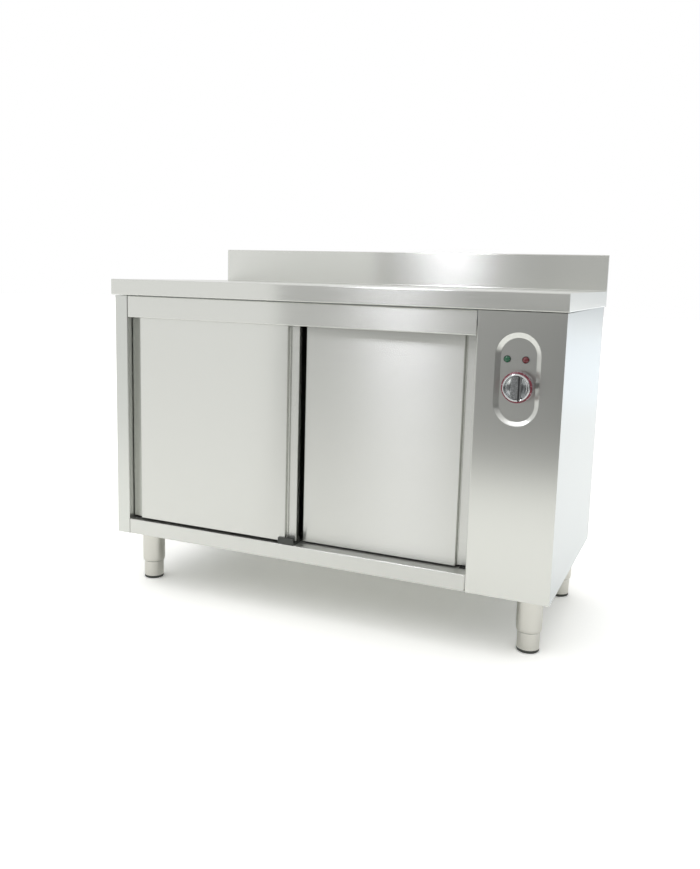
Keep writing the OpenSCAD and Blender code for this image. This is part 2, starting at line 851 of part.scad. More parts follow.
// Knob: a cup with a rolled rim and a grip bar across it. The groove holds the pointer line.
module knob() {
    r = knob_d / 2;
    floor_h = knob_h * 0.5;
    rim = 4;
    bar_w = 24;
    line_w = 3.6;
    line_x = 6;
    color(CHROME) translate([column_x, knob_y, knob_z]) rotate([90, 0, 0]) difference() {
        union() {
            rotate_extrude() polygon(concat(
                [[0, 0], [r, 0], [r, knob_h - rim / 2]],
                [for (a = [15 : 15 : 165])
                    [r - rim / 2 + rim / 2 * cos(a), knob_h - rim / 2 + rim / 2 * sin(a)]],
                [[r - rim, knob_h - rim / 2], [r - rim - 2, floor_h], [0, floor_h]]));
            intersection() {
                cylinder(h = knob_h - 0.5, r = r - rim / 2);
                along_y(-r, r) polygon([
                    [-bar_w / 2 - 1, floor_h - 1], [bar_w / 2 + 1, floor_h - 1],
                    [bar_w / 2, knob_h - 2], [bar_w / 2 - 2, knob_h - 0.5],
                    [-bar_w / 2 + 2, knob_h - 0.5], [-bar_w / 2, knob_h - 2]]);
            }
        }
        translate([0, 0, -1]) cylinder(h = floor_h + 2, r = shaft_r + running);
        block([line_x - line_w / 2, -r - 1, knob_h - 1], [line_x + line_w / 2, 7, knob_h + 1]);
    }
}

// Shaft that carries the knob and turns the thermostat.
module thermostat_shaft() {
    color(CHROME)
        bar_y(knob_y - knob_h / 2 - 1, thermostat_y + shaft_grip, shaft_r, column_x, knob_z);
}

// Thermostat behind the pan, with the bush that the shaft turns in.
module thermostat_body() {
    half = thermostat_w / 2;
    color("#d8d3c4") difference() {
        union() {
            block([column_x - half, thermostat_y, knob_z - half],
                  [column_x + half, thermostat_y + thermostat_depth, knob_z + half]);
            bar_y(thermostat_y - bush_len, thermostat_y + 1, bush_r, column_x, knob_z);
        }
        bar_y(pan_y - 5, thermostat_y + shaft_grip + 1, shaft_r + running, column_x, knob_z);
    }
}

// A thin tube through a list of points.
module capillary(points) {
    for (i = [0 : len(points) - 2]) {
        a = points[i];
        b = points[i + 1];
        v = b - a;
        translate(a) rotate([0, acos(v[2] / norm(v)), atan2(v[1], v[0])])
            cylinder(h = norm(v), r = capillary_r, $fn = 16);
        if (i < len(points) - 2) translate(b) sphere(r = capillary_r, $fn = 16);
    }
}

// Sensing bulb on the chamber wall, with its clips and its capillary to the thermostat.
module thermostat_bulb() {
    clip = 8;
    clip_at = bulb_len / 2 - 15;
    body_back = thermostat_y + thermostat_depth;
    along_wall = column_in + 12;
    entry_z = knob_z + 10;
    color("#b5763a") {
        bar_z(bulb_z - bulb_len / 2, bulb_z + bulb_len / 2, bulb_r, bulb_x, bulb_y);
        for (z = [bulb_z - clip_at, bulb_z + clip_at])
            block([bulb_x - 1, bulb_y - clip / 2, z - clip / 2],
                  [open_x1, bulb_y + clip / 2, z + clip / 2]);
        capillary([
            [bulb_x, bulb_y, bulb_z + bulb_len / 2 - 2], [bulb_x, bulb_y, capillary_z],
            [along_wall, bulb_y, capillary_z], [along_wall, body_back + 30, capillary_z],
            [column_x, body_back + 12, entry_z], [column_x, body_back, entry_z]]);
    }
}

// Indicator lamp: domed lens in front of the pan, stem and nut behind it.
module lamp(side, hue) {
    r = lamp_d / 2;
    dome = 3;
    rim = 2;
    stem_len = 22;
    nut_h = 5;
    nut_r = 9;
    sphere_r = (r * r + dome * dome) / (2 * dome);
    color(hue) translate([lamp_x(side), pan_y, lamp_z]) rotate([90, 0, 0]) {
        cylinder(h = rim, r = r);
        intersection() {
            translate([0, 0, rim + dome - sphere_r]) sphere(r = sphere_r);
            translate([0, 0, rim / 2]) cylinder(h = rim / 2 + dome + 1, r = r);
        }
        bar_z(-stem_len, rim / 2, lamp_stem_r, 0, 0);
        hexagon(-t - nut_h, -t, nut_r);
    }
}

// ---- Fan heater ----------------------------------------------------------------------------

// Open box on the partition, in which the fan wheel and the heater ring stand.
module fan_housing() {
    half = housing_w / 2;
    rim = 12;
    color(GALVANISED) difference() {
        union() {
            block([column_in, fan_y - half, fan_z - half],
                  [housing_back, fan_y + half, fan_z + half]);
            block([column_in, fan_y - half - rim, fan_z - half - rim],
                  [column_in + t, fan_y + half + rim, fan_z + half + rim]);
        }
        block([column_in - 1, fan_y - half + t, fan_z - half + t],
              [housing_back - t, fan_y + half - t, fan_z + half - t]);
        bar_x(housing_back - t - 1, housing_back + 1, fan_axle_r + 2, fan_y, fan_z);
        at_element_ends() cylinder(h = housing_d, r = element_tube_r + hole_gap);
    }
}

// Motor on three spacers behind the housing.
module fan_motor() {
    spacer_r = 4;
    spacer_at = motor_r - 8;
    cap_r = 14;
    cap_h = 6;
    color("#70757a") difference() {
        union() {
            bar_x(motor_x, motor_x + motor_len, motor_r, fan_y, fan_z);
            for (a = [0 : 120 : 240])
                bar_x(housing_back, motor_x + 1, spacer_r,
                      fan_y + spacer_at * cos(a), fan_z + spacer_at * sin(a));
            bar_x(motor_x + motor_len, motor_x + motor_len + cap_h, cap_r, fan_y, fan_z);
        }
        bar_x(motor_x - 1, motor_x + motor_len / 2, fan_axle_r + running, fan_y, fan_z);
    }
}

// Radial fan wheel on the motor's axle.
module fan_wheel() {
    blades = 9;
    blade_len = 31;
    blade_w = 32;
    disc_t = 1.5;
    disc_x = housing_back - 12;
    hub_r = 9;
    hub_x = disc_x - 14;
    color("#9aa0a3") {
        bar_x(disc_x, disc_x + disc_t, fan_d / 2, fan_y, fan_z);
        bar_x(hub_x, motor_x + motor_len / 3, fan_axle_r, fan_y, fan_z);
        bar_x(hub_x, disc_x + disc_t / 2, hub_r, fan_y, fan_z);
        for (k = [0 : blades - 1])
            translate([disc_x + disc_t / 2, fan_y, fan_z]) rotate([k * 360 / blades, 0, 0])
                block([-blade_w, fan_d / 2 - 1 - blade_len, -disc_t / 2],
                      [0, fan_d / 2 - 1, disc_t / 2]);
    }
}

// The two ends of the heater ring, which point back through the housing.
module at_element_ends() {
    for (a = [-ELEMENT_GAP, ELEMENT_GAP])
        translate([column_in + housing_d / 2, fan_y + element_r * sin(a), fan_z + element_r * cos(a)])
            rotate([0, 90, 0]) children();
}

// Tubular heater bent to a ring round the fan wheel, with brazed elbows and collars at its ends.
module heater_element() {
    reach = 2 * element_r;
    gap = reach * tan(ELEMENT_GAP);
    elbow = 0.8;
    color("#5d5a55") {
        translate([column_in + housing_d / 2, fan_y, fan_z]) rotate([0, 90, 0]) difference() {
            rotate_extrude() translate([element_r, 0]) circle(r = element_tube_r);
            along_z(-2 * element_tube_r, 2 * element_tube_r)
                polygon([[0, 0], [-reach, -gap], [-reach, gap]]);
        }
        at_element_ends() {
            sphere(r = element_tube_r + elbow);
            cylinder(h = housing_d / 2 + 12, r = element_tube_r);
            translate([0, 0, housing_d / 2 - t - 2]) cylinder(h = 2, r = 6.5);
        }
    }
}

// Button-shaped cut-out on the housing.
module safety_thermostat() {
    from_corner = 38;
    button_r = 12;
    button_h = 10;
    tab_w = 6;
    tab_h = 10;
    y = fan_y + housing_w / 2 - from_corner;
    z = fan_z - housing_w / 2 + from_corner;
    top = housing_back + button_h;
    color("#2f3133") {
        bar_x(housing_back, top, button_r, y, z);
        for (side = [-1, 1])
            block([top - 1, y + side * tab_w - tab_w / 2, z - 0.5],
                  [top + tab_h, y + side * tab_w + tab_w / 2, z + 0.5]);
    }
}

// Three-pole terminal block on the rear panel.
module terminal_block() {
    size = [54, 20, 24];
    lo = [gland_x - 10, rear_inner_y - size[1], rail_top + 60];
    pole_pitch = 16;
    entry_r = 2.5;
    entry_depth = 9;
    color("#e8e4d8") difference() {
        block(lo, lo + size);
        for (k = [-1 : 1], z = [lo[2] - 1, lo[2] + size[2] - entry_depth])
            bar_z(z, z + entry_depth + 1, entry_r,
                  lo[0] + size[0] / 2 + k * pole_pitch, lo[1] + size[1] / 2);
    }
}

// Gland for the supply cable, through the tray and facing down.
module cable_gland() {
    under = rail_top - t;
    body_h = 6;
    cap_h = 12;
    mouth_h = 6;
    nut_h = 5;
    color(NYLON) difference() {
        translate([gland_x, gland_y, 0]) {
            hexagon(under - body_h, under, gland_nut_r);
            hexagon(under - body_h - cap_h, under - body_h + 0.5, gland_nut_r - 1.5);
            translate([0, 0, under - body_h - cap_h - mouth_h])
                cylinder(h = mouth_h, r1 = gland_nut_r - 6, r2 = gland_nut_r - 3);
            bar_z(under - 1, rail_top + nut_h + 5, gland_thread_r, 0, 0);
            hexagon(rail_top, rail_top + nut_h, gland_nut_r);
        }
        bar_z(under - 30, rail_top + 20, gland_bore_r, gland_x, gland_y);
    }
}

// ---- Pieces --------------------------------------------------------------------------------

worktop();
worktop_board();
worktop_stiffeners();
left_side_panel();
left_inner_panel();
right_side_panel();
control_column_front();
partition_panel();
rear_panel();
base_tray();
leg_channels();
top_fascia();
door_track();
ceiling_panel();
insulation();
door_guide_block();
door_stops();
middle_shelf();
shelf_supports();
leg_tube(-leg_x, leg_y0);  // leg_tube_front_left
leg_tube(leg_x, leg_y0);  // leg_tube_front_right
leg_tube(-leg_x, leg_y1);  // leg_tube_rear_left
leg_tube(leg_x, leg_y1);  // leg_tube_rear_right
leg_bolts();
panel_screws();
foot_tube(-leg_x, leg_y0);  // foot_tube_front_left
foot_tube(leg_x, leg_y0);  // foot_tube_front_right
foot_tube(-leg_x, leg_y1);  // foot_tube_rear_left
foot_tube(leg_x, leg_y1);  // foot_tube_rear_right
foot_glide(-leg_x, leg_y0);  // foot_glide_front_left
foot_glide(leg_x, leg_y0);  // foot_glide_front_right
foot_glide(-leg_x, leg_y1);  // foot_glide_rear_left
foot_glide(leg_x, leg_y1);  // foot_glide_rear_right
door_skin(left_door_x, FRONT_LANE);  // left_door_skin
door_liner(left_door_x, FRONT_LANE);  // left_door_liner
door_core(left_door_x, FRONT_LANE);  // left_door_core
door_hangers(left_door_x, FRONT_LANE);  // left_door_hangers
door_roller(hanger_x(left_door_x, -1), FRONT_LANE);  // left_door_roller_outer
door_roller(hanger_x(left_door_x, 1), FRONT_LANE);  // left_door_roller_inner
door_skin(right_door_x, REAR_LANE);  // right_door_skin
door_liner(right_door_x, REAR_LANE);  // right_door_liner
door_core(right_door_x, REAR_LANE);  // right_door_core
door_hangers(right_door_x, REAR_LANE);  // right_door_hangers
door_roller(hanger_x(right_door_x, -1), REAR_LANE);  // right_door_roller_inner
door_roller(hanger_x(right_door_x, 1), REAR_LANE);  // right_door_roller_outer
dial_ring();
knob();
thermostat_shaft();
thermostat_body();
thermostat_bulb();
lamp(-1, "#1e7f55");  // green_lamp
lamp(1, "#8a2a2e");  // red_lamp
fan_housing();
fan_motor();
fan_wheel();
heater_element();
safety_thermostat();
terminal_block();
cable_gland();
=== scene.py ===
import json
import logging
import math
from dataclasses import dataclass
from enum import Enum
from functools import lru_cache
from typing import Callable, Optional, Sequence

import bmesh
import bpy
from mathutils import Matrix, Vector, noise


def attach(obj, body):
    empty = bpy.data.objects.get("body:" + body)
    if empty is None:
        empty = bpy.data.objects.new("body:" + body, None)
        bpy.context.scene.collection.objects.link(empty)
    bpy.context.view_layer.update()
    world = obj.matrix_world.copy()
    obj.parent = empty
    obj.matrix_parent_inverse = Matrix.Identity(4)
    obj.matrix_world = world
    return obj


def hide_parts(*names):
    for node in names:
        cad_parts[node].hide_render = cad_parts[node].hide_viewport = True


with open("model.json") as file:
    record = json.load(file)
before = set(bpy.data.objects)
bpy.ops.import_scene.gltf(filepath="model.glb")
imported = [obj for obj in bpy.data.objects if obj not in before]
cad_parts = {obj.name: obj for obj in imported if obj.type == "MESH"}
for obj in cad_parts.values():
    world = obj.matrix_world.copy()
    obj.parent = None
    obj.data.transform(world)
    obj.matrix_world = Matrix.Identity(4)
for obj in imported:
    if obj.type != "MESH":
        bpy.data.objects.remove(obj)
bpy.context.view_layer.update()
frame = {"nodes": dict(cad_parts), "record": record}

log = logging.getLogger("plate_cabinet")

# Everything is in metres in the frame's axes: X to the right, Y to the back, Z up.
MM = 0.001
GRAIN_MAP = "grain"
NOISE_LOW, NOISE_HIGH = 0.3, 0.7  # most of a noise pattern's values lie between these
BODY_OF = {
    node: body
    for body, nodes in frame["record"]["behaviour"]["bodies"].items()
    for node in nodes
}


class Axis(Enum):
    """Direction of a sheet's grain, or axle of a turned piece."""

    X = 0
    Y = 1
    Z = 2

    def after(self) -> "Axis":
        """The next axis in turn."""
        return Axis((self.value + 1) % 3)

    def unit(self) -> Vector:
        """Vector of length 1 along the axis."""
        return Vector([float(k == self.value) for k in range(3)])


# ---- Finishes ------------------------------------------------------------------------------


def linear(hex_colour: str) -> tuple[float, float, float, float]:
    """Turns an sRGB colour to linear values.

    Args:
        hex_colour: Six hex digits after a #.

    Returns:
        Linear red, green and blue, and an alpha of 1.
    """
    shades = [int(hex_colour[k : k + 2], 16) / 255 for k in (1, 3, 5)]
    red, green, blue = (
        s / 12.92 if s <= 0.04045 else ((s + 0.055) / 1.055) ** 2.4 for s in shades
    )
    return red, green, blue, 1.0


def add_node(
    tree: bpy.types.NodeTree,
    kind: str,
    inputs: Optional[dict[str | int, object]] = None,
    **settings: object,
) -> bpy.types.Node:
    """Adds a node to a tree, with its settings and its links.

    Args:
        tree: The tree that gets the node.
        kind: Type of the node.
        inputs: A value or an output socket for each input's name or number.
        **settings: The node's own properties.

    Returns:
        The new node.
    """
    node = tree.nodes.new(kind)
    for name, value in settings.items():
        setattr(node, name, value)
    for key, value in (inputs or {}).items():
        if isinstance(value, bpy.types.NodeSocket):
            tree.links.new(value, node.inputs[key])
        else:
            node.inputs[key].default_value = value
    return node


def cleared_tree(owner: bpy.types.ID) -> bpy.types.NodeTree:
    """Turns on the nodes of a material or a world, and clears them.

    Args:
        owner: The material or the world.

    Returns:
        Its empty tree.
    """
    owner.use_nodes = True
    owner.node_tree.nodes.clear()
    return owner.node_tree


def follow_pattern(
    tree: bpy.types.NodeTree,
    shader: bpy.types.Node,
    tone: bpy.types.NodeSocket,
    stops: Sequence[tuple[float, Sequence[float]]],
    relief: dict[str | int, object],
    roughness: Optional[tuple[float, float]] = None,
) -> None:
    """Lets a pattern change the shader's colour, relief and roughness.

    Args:
        tree: The material's tree.
        shader: Its shader.
        tone: The pattern that sets the colour and the roughness.
        stops: Two places on the pattern's scale, each with its linear colour.
        relief: Height, depth and strength of the relief, as the Bump node names them.
        roughness: Least and most roughness, or None where it is even.
    """
    ramp = add_node(tree, "ShaderNodeValToRGB", {"Fac": tone})
    for element, (position, colour) in zip(ramp.color_ramp.elements, stops):
        element.position = position
        element.color = colour
    drivers = {"Base Color": ramp, "Normal": add_node(tree, "ShaderNodeBump", relief)}
    if roughness:
        drivers["Roughness"] = add_node(tree, "ShaderNodeMapRange", {
            "Value": tone, "From Min": NOISE_LOW, "From Max": NOISE_HIGH,
            "To Min": roughness[0], "To Max": roughness[1],
        })
    for name, node in drivers.items():
        tree.links.new(node.outputs[0], shader.inputs[name])


@dataclass(frozen=True)
class Finish:
    """What all finishes share: a name, the record's slot and the shader's main values."""

    name: str
    slot: str
    colour: str
    roughness: float = 0.5
    metallic: float = 0.0
    ior: float = 1.5

    def dress(self, tree: bpy.types.NodeTree, shader: bpy.types.Node) -> None:
        """Adds the finish's own pattern, which each kind of finish makes in its way.

        Args:
            tree: The material's tree.
            shader: Its shader.
        """

    def shades(self, *shares: float) -> list[tuple[float, ...]]:
        """The finish's linear colour, times each of some shares."""
        base = Vector(linear(self.colour)[:3])
        return [(*(base * share), 1.0) for share in shares]

    def material(self) -> bpy.types.Material:
        """The finish's material, built once."""
        return built_material(self)


@lru_cache(maxsize=None)
def built_material(finish: Finish) -> bpy.types.Material:
    """Builds the material of a finish.

    Args:
        finish: The finish to build.

    Returns:
        The new material.
    """
    material = bpy.data.materials.new(finish.name)
    tree = cleared_tree(material)
    shader = add_node(tree, "ShaderNodeBsdfPrincipled", {
        "Base Color": linear(finish.colour),
        "Roughness": finish.roughness,
        "Metallic": finish.metallic,
        "IOR": finish.ior,
    })
    add_node(tree, "ShaderNodeOutputMaterial", {"Surface": shader.outputs[0]})
    finish.dress(tree, shader)
    return material


@dataclass(frozen=True)
class BrushedSteel(Finish):
    """Stainless sheet, ground with a belt: fine parallel lines on a slightly uneven sheet.

    The grain runs along V of the piece's own map, so the shader's tangent, which is U, lies
    across it, and highlights stretch that way.
    """

    metallic: float = 1.0
    anisotropy: float = 0.85
    grain_pitch: float = 1.4 * MM  # real belt lines are 0.1 mm apart, drawn coarser to show
    grain_length: float = 160 * MM
    grain_depth: float = 0.0015 * MM
    streak_shade: float = 0.012
    streak_roughness: float = 0.02
    wave_length: float = 260 * MM
    wave_depth: float = 0.25 * MM

    def dress(self, tree: bpy.types.NodeTree, shader: bpy.types.Node) -> None:
        """Adds the grain, the sheet's waves and the tangent.

        Args:
            tree: The material's tree.
            shader: Its shader.
        """
        layout = add_node(tree, "ShaderNodeUVMap", uv_map=GRAIN_MAP)
        stretched = add_node(tree, "ShaderNodeMapping", {
            "Vector": layout.outputs[0],
            "Scale": (1 / self.grain_pitch, 1 / self.grain_length, 1.0),
        })
        streak = add_node(tree, "ShaderNodeTexNoise", {
            "Vector": stretched.outputs[0], "Scale": 1.0, "Detail": 3.0, "Roughness": 0.6,
        })
        place = add_node(tree, "ShaderNodeTexCoord")
        wave = add_node(tree, "ShaderNodeTexNoise", {
            "Vector": place.outputs["Object"], "Scale": 1 / self.wave_length, "Detail": 1.0,
        })
        shade = add_node(
            tree, "ShaderNodeMix", {"Factor": streak.outputs[0]}, data_type="RGBA"
        )
        # A Mix node has sockets for each kind of data under the same names.
        sockets = [s for s in shade.inputs if s.type == "RGBA"]
        colours = self.shades(1 - self.streak_shade, 1 + self.streak_shade)
        for socket, colour in zip(sockets, colours):
            socket.default_value = colour
        mixed = next(s for s in shade.outputs if s.type == "RGBA")
        rough = add_node(tree, "ShaderNodeMapRange", {
            "Value": streak.outputs[0], "From Min": NOISE_LOW, "From Max": NOISE_HIGH,
            "To Min": self.roughness - self.streak_roughness,
            "To Max": self.roughness + self.streak_roughness,
        })
        lines = add_node(tree, "ShaderNodeBump", {
            "Height": streak.outputs[0], "Distance": self.grain_depth,
        })
        waves = add_node(tree, "ShaderNodeBump", {
            "Height": wave.outputs[0], "Distance": self.wave_depth, "Normal": lines.outputs[0],
        })
        tangent = add_node(
            tree, "ShaderNodeTangent", direction_type="UV_MAP", uv_map=GRAIN_MAP
        )
        shader.inputs["Anisotropic"].default_value = self.anisotropy
        for name, socket in (
            ("Base Color", mixed),
            ("Roughness", rough.outputs[0]),
            ("Normal", waves.outputs[0]),
            ("Tangent", tangent.outputs[0]),
        ):
            tree.links.new(socket, shader.inputs[name])


@dataclass(frozen=True)
class Mottled(Finish):
    """A finish with soft patches of shade, such as zinc, paint, mill scale or drawn metal."""

    other_colour: str = "#808080"
    patch: float = 8 * MM
    patch_roughness: float = 0.1
    crystals: bool = False
    relief: float = 0.02 * MM

    def dress(self, tree: bpy.types.NodeTree, shader: bpy.types.Node) -> None:
        """Adds the patches to the colour, the roughness and the relief.

        Args:
            tree: The material's tree.
            shader: Its shader.
        """
        place = add_node(tree, "ShaderNodeTexCoord")
        kind = "ShaderNodeTexVoronoi" if self.crystals else "ShaderNodeTexNoise"
        pattern = add_node(tree, kind, {
            "Vector": place.outputs["Object"], "Scale": 1 / self.patch,
        })
        factor = pattern.outputs["Color"] if self.crystals else pattern.outputs[0]
        follow_pattern(
            tree, shader, factor,
            ((NOISE_LOW, linear(self.colour)), (NOISE_HIGH, linear(self.other_colour))),
            {"Height": factor, "Distance": self.relief},
            (self.roughness - self.patch_roughness, self.roughness + self.patch_roughness),
        )


@dataclass(frozen=True)
class Moulded(Finish):
    """Moulded plastic or rubber: one colour with a fine sparked grain from the mould."""

    grit: float = 0.6 * MM
    relief: float = 0.01 * MM
    fade: float = 0.15
    mark: float = 50 * MM / 3  # about a fingertip
    mark_roughness: float = 0.15

    def dress(self, tree: bpy.types.NodeTree, shader: bpy.types.Node) -> None:
        """Adds the mould's grain and a faint cloud of handling marks.

        Args:
            tree: The material's tree.
            shader: Its shader.
        """
        place = add_node(tree, "ShaderNodeTexCoord")
        grit = add_node(tree, "ShaderNodeTexNoise", {
            "Vector": place.outputs["Object"], "Scale": 1 / self.grit, "Detail": 2.0,
        })
        marks = add_node(tree, "ShaderNodeTexNoise", {
            "Vector": place.outputs["Object"], "Scale": 1 / self.mark, "Detail": 3.0,
        })
        follow_pattern(
            tree, shader, marks.outputs[0],
            tuple(zip((0.35, 0.65), self.shades(1 - self.fade, 1 + self.fade))),
            {"Height": grit.outputs[0], "Distance": self.relief},
            (
                self.roughness * (1 - self.mark_roughness),
                self.roughness * (1 + self.mark_roughness),
            ),
        )


@dataclass(frozen=True)
class Fibrous(Finish):
    """Bonded mineral wool: tangled fibres with light and dark tufts."""

    fibre: float = 2.5 * MM
    relief: float = 0.6 * MM
    other_colour: str = "#8C7A3E"

    def dress(self, tree: bpy.types.NodeTree, shader: bpy.types.Node) -> None:
        """Adds crossing layers of stretched noise.

        Args:
            tree: The material's tree.
            shader: Its shader.
        """
        place = add_node(tree, "ShaderNodeTexCoord")
        layers = [
            add_node(tree, "ShaderNodeTexNoise", {
                "Vector": add_node(tree, "ShaderNodeMapping", {
                    "Vector": place.outputs["Object"],
                    "Rotation": turn,
                    "Scale": (1 / self.fibre, 0.1 / self.fibre, 1 / self.fibre),
                }).outputs[0],
                "Scale": 1.0, "Detail": 4.0,
            })
            for turn in ((0.0, 0.0, 0.6), (0.3, 0.2, -0.7))
        ]
        tangle = add_node(tree, "ShaderNodeMath", {
            0: layers[0].outputs[0], 1: layers[1].outputs[0],
        }, operation="MULTIPLY")
        follow_pattern(
            tree, shader, tangle.outputs[0],
            ((0.15, linear(self.other_colour)), (0.35, linear(self.colour))),
            {"Height": tangle.outputs[0], "Distance": self.relief},
        )


@dataclass(frozen=True)
class LensPlastic(Finish):
    """Clear coloured acrylic over a dark lamp body: saturated, glossy, with fine ribs."""

    roughness: float = 0.12
    ior: float = 1.49
    rib: float = 1.2 * MM
    relief: float = 0.08 * MM
    relief_strength: float = 0.4
    lit_and_shaded: tuple[float, float] = (1.2, 0.8)
    coat: float = 0.35
    coat_roughness: float = 0.03

    def dress(self, tree: bpy.types.NodeTree, shader: bpy.types.Node) -> None:
        """Adds the ribs behind the lens, and its gloss as a coat.

        Args:
            tree: The material's tree.
            shader: Its shader.
        """
        place = add_node(tree, "ShaderNodeTexCoord")
        ribs = add_node(tree, "ShaderNodeTexVoronoi", {
            "Vector": place.outputs["Object"], "Scale": 1 / self.rib,
        })
        follow_pattern(
            tree, shader, ribs.outputs[0],
            tuple(zip((0.1, 0.6), self.shades(*self.lit_and_shaded))),
            {
                "Height": ribs.outputs[0], "Distance": self.relief,
                "Strength": self.relief_strength,
            },
        )
        shader.inputs["Coat Weight"].default_value = self.coat
        shader.inputs["Coat Roughness"].default_value = self.coat_roughness


# Ground stainless worktop sheet: long lines along its length, sharp edges in what it mirrors.
WORKTOP_STEEL = BrushedSteel(
    "brushed_stainless_worktop", "worktop_steel", "#D0D1CC", roughness=0.205, anisotropy=1.0
)
# Ground stainless body sheet: upright lines, a soft satin gleam.
PANEL_STEEL = BrushedSteel(
    "brushed_stainless_panel", "panel_steel", "#CFD1CC", roughness=0.34, anisotropy=0.6
)
# The right side: the same lines, with a slightly cooler colour that paints the cool light it
# reflects there.
SIDE_STEEL_PAINTED_COOL = BrushedSteel(
    "brushed_stainless_side_painted_cool", "panel_steel", "#CCD0D1", roughness=0.34, anisotropy=0.6
)
# The column's front: the same sheet with a calmer gleam.
COLUMN_STEEL = BrushedSteel(
    "brushed_stainless_column", "column_steel", "#CFD0CB", roughness=0.30, anisotropy=0.85
)
# Rail and fascia: lines along their length.
RAIL_STEEL = BrushedSteel(
    "brushed_stainless_rail", "rail_steel", "#CFD0CB", roughness=0.23, anisotropy=1.0
)
# Chamber floor and front rail: the same lines, more worn, with a wide gleam.
TRAY_STEEL = BrushedSteel(
    "brushed_stainless_tray", "rail_steel", "#CFD0CB", roughness=0.37, anisotropy=0.5
)
# Door skins: lines across the door, slightly springy sheet with longer waves.
DOOR_STEEL = BrushedSteel(
    "brushed_stainless_door", "door_steel", "#D0D1CC", roughness=0.25, anisotropy=1.0,
    wave_depth=0.35 * MM,
)
# Satin stainless tube of the legs: almost even in all directions.
TUBE_STEEL = BrushedSteel(
    "satin_stainless_tube", "tube_steel", "#C9C8C1", roughness=0.22, anisotropy=0.3,
    grain_pitch=5 * MM, streak_shade=0.09, streak_roughness=0.04, wave_depth=0.02 * MM,
)
# Hot-dip zinc: grey crystals, dull.
ZINC = Mottled(
    "hot_dip_zinc", "galvanised_steel", "#A2A7A8", roughness=0.42, metallic=1.0,
    other_colour="#B9BDBD", patch=9 * MM, crystals=True,
)
# Bright-plated screws: small hard gleams.
SCREW_STEEL = Mottled(
    "bright_plated_screws", "screw_steel", "#C9CBCB", roughness=0.18, metallic=1.0,
    other_colour="#DADCDC", patch=3 * MM, patch_roughness=0.05,
)
# Depth of the screws' recesses: near-black colour that paints the shade inside the cross
# recesses.
RECESS_PAINTED_SHADE = Moulded("shaded_recess", "screw_steel", "#2A2B2B", roughness=0.6, fade=0.1)
# Polyamide of the guide block, the glides and the gland: near black, dull and dense.
BLACK_NYLON = Moulded("black_polyamide", "black_nylon", "#3A3D38", roughness=0.5, ior=1.53)
# Rubber of the bumpers: black, almost without gleam. The same black makes the thin ring at each
# leg's seam, which paints the shade in the gap there.
BLACK_RUBBER_AND_SEAM_SHADE = Moulded("black_rubber", "black_rubber", "#1E1F1D", roughness=0.75, ior=1.52)
# Turned acetal of the door rollers: milky white, slick.
WHITE_NYLON = Moulded(
    "white_acetal", "white_nylon", "#E4E2DA", roughness=0.3, ior=1.48, fade=0.03
)
# Urea moulding of the thermostat and the terminals: cream, half gloss.
PALE_PLASTIC = Moulded(
    "cream_urea", "pale_plastic", "#D8D3C4", roughness=0.35, ior=1.6, fade=0.04
)
# Chrome on moulded plastic: a bright mirror with barely any haze.
CHROME = Mottled(
    "chromed_abs", "chromed_plastic", "#C4C7C6", roughness=0.09, metallic=1.0,
    other_colour="#DCDEDF", patch=2.6 * MM, patch_roughness=0.03, relief=0.22 * MM,
)
# The same chrome on the knob's grip bar, darker: painted dark reflection, with lighter patches
# of random tone.
BAR_CHROME_PAINTED_DARK = Mottled(
    "chromed_abs_painted_dark_reflection", "chromed_plastic", "#8B8E8D", roughness=0.11, metallic=1.0,
    other_colour="#C6C8C9", patch=2.2 * MM, patch_roughness=0.04, relief=0.26 * MM,
)
# Satin anodised aluminium of the scale ring: pale grey, softly bright.
DIAL_ALUMINIUM = Mottled(
    "satin_anodised_aluminium", "dial_aluminium", "#C4C6C6", roughness=0.35, metallic=1.0,
    other_colour="#CDCFCF", patch=2 * MM, patch_roughness=0.04,
)
# Dark red lacquer on the knob's skirt: thin, with a slight gloss.
RED_LACQUER = Moulded("dark_red_lacquer", "chromed_plastic", "#702433", roughness=0.3, fade=0.2)
# Pale marks printed on the lacquer.
PALE_INK = Moulded("pale_print", "chromed_plastic", "#D9BFC2", roughness=0.45, fade=0.05)
# Scale lines printed on the ring behind the knob.
SCALE_INK = Moulded("black_scale_print", "dial_aluminium", "#242426", roughness=0.4, fade=0.05)
# Black filling of the knob's pointer line.
BLACK_INK = Moulded(
    "black_pointer_fill", "chromed_plastic", "#161617", roughness=0.45, fade=0.05
)
# Green acrylic lens, unlit: deep bottle green.
GREEN_LENS = LensPlastic("green_acrylic", "green_lens", "#0E5C3C")
# Red acrylic lens, unlit: dark raspberry.
RED_LENS = LensPlastic("red_acrylic", "red_lens", "#6A1820")
# Black polyamide of the lamps' stems and nuts, and of the black rim round each lens, which
# paints the shade at the lens's edge.
LAMP_BODY_AND_SHADE_RIM = Moulded("black_lamp_body_and_shade_rim", "black_nylon", "#1F2122", roughness=0.45, ior=1.53)
# Pressed board under the worktop: short brown flakes.
BOARD = Mottled(
    "pressed_flake_board", "board_wood", "#A98655", roughness=0.8,
    other_colour="#7F6038", patch=6 * MM, crystals=True, relief=0.1 * MM,
)
# Mineral wool: ochre, matt and tangled.
WOOL = Fibrous("mineral_wool", "mineral_wool", "#B59F5B", roughness=0.95)
# Drawn copper of the sensing tube: warm, softly tarnished.
COPPER = Mottled(
    "drawn_copper", "copper_tube", "#B5763A", roughness=0.3, metallic=1.0,
    other_colour="#9A5F30", patch=5 * MM,
)
# Painted motor shell: blue grey, half matt.
MOTOR_PAINT = Mottled(
    "painted_motor_iron", "motor_iron", "#6A7074", roughness=0.5,
    other_colour="#757B7F", patch=2 * MM, relief=0.05 * MM,
)
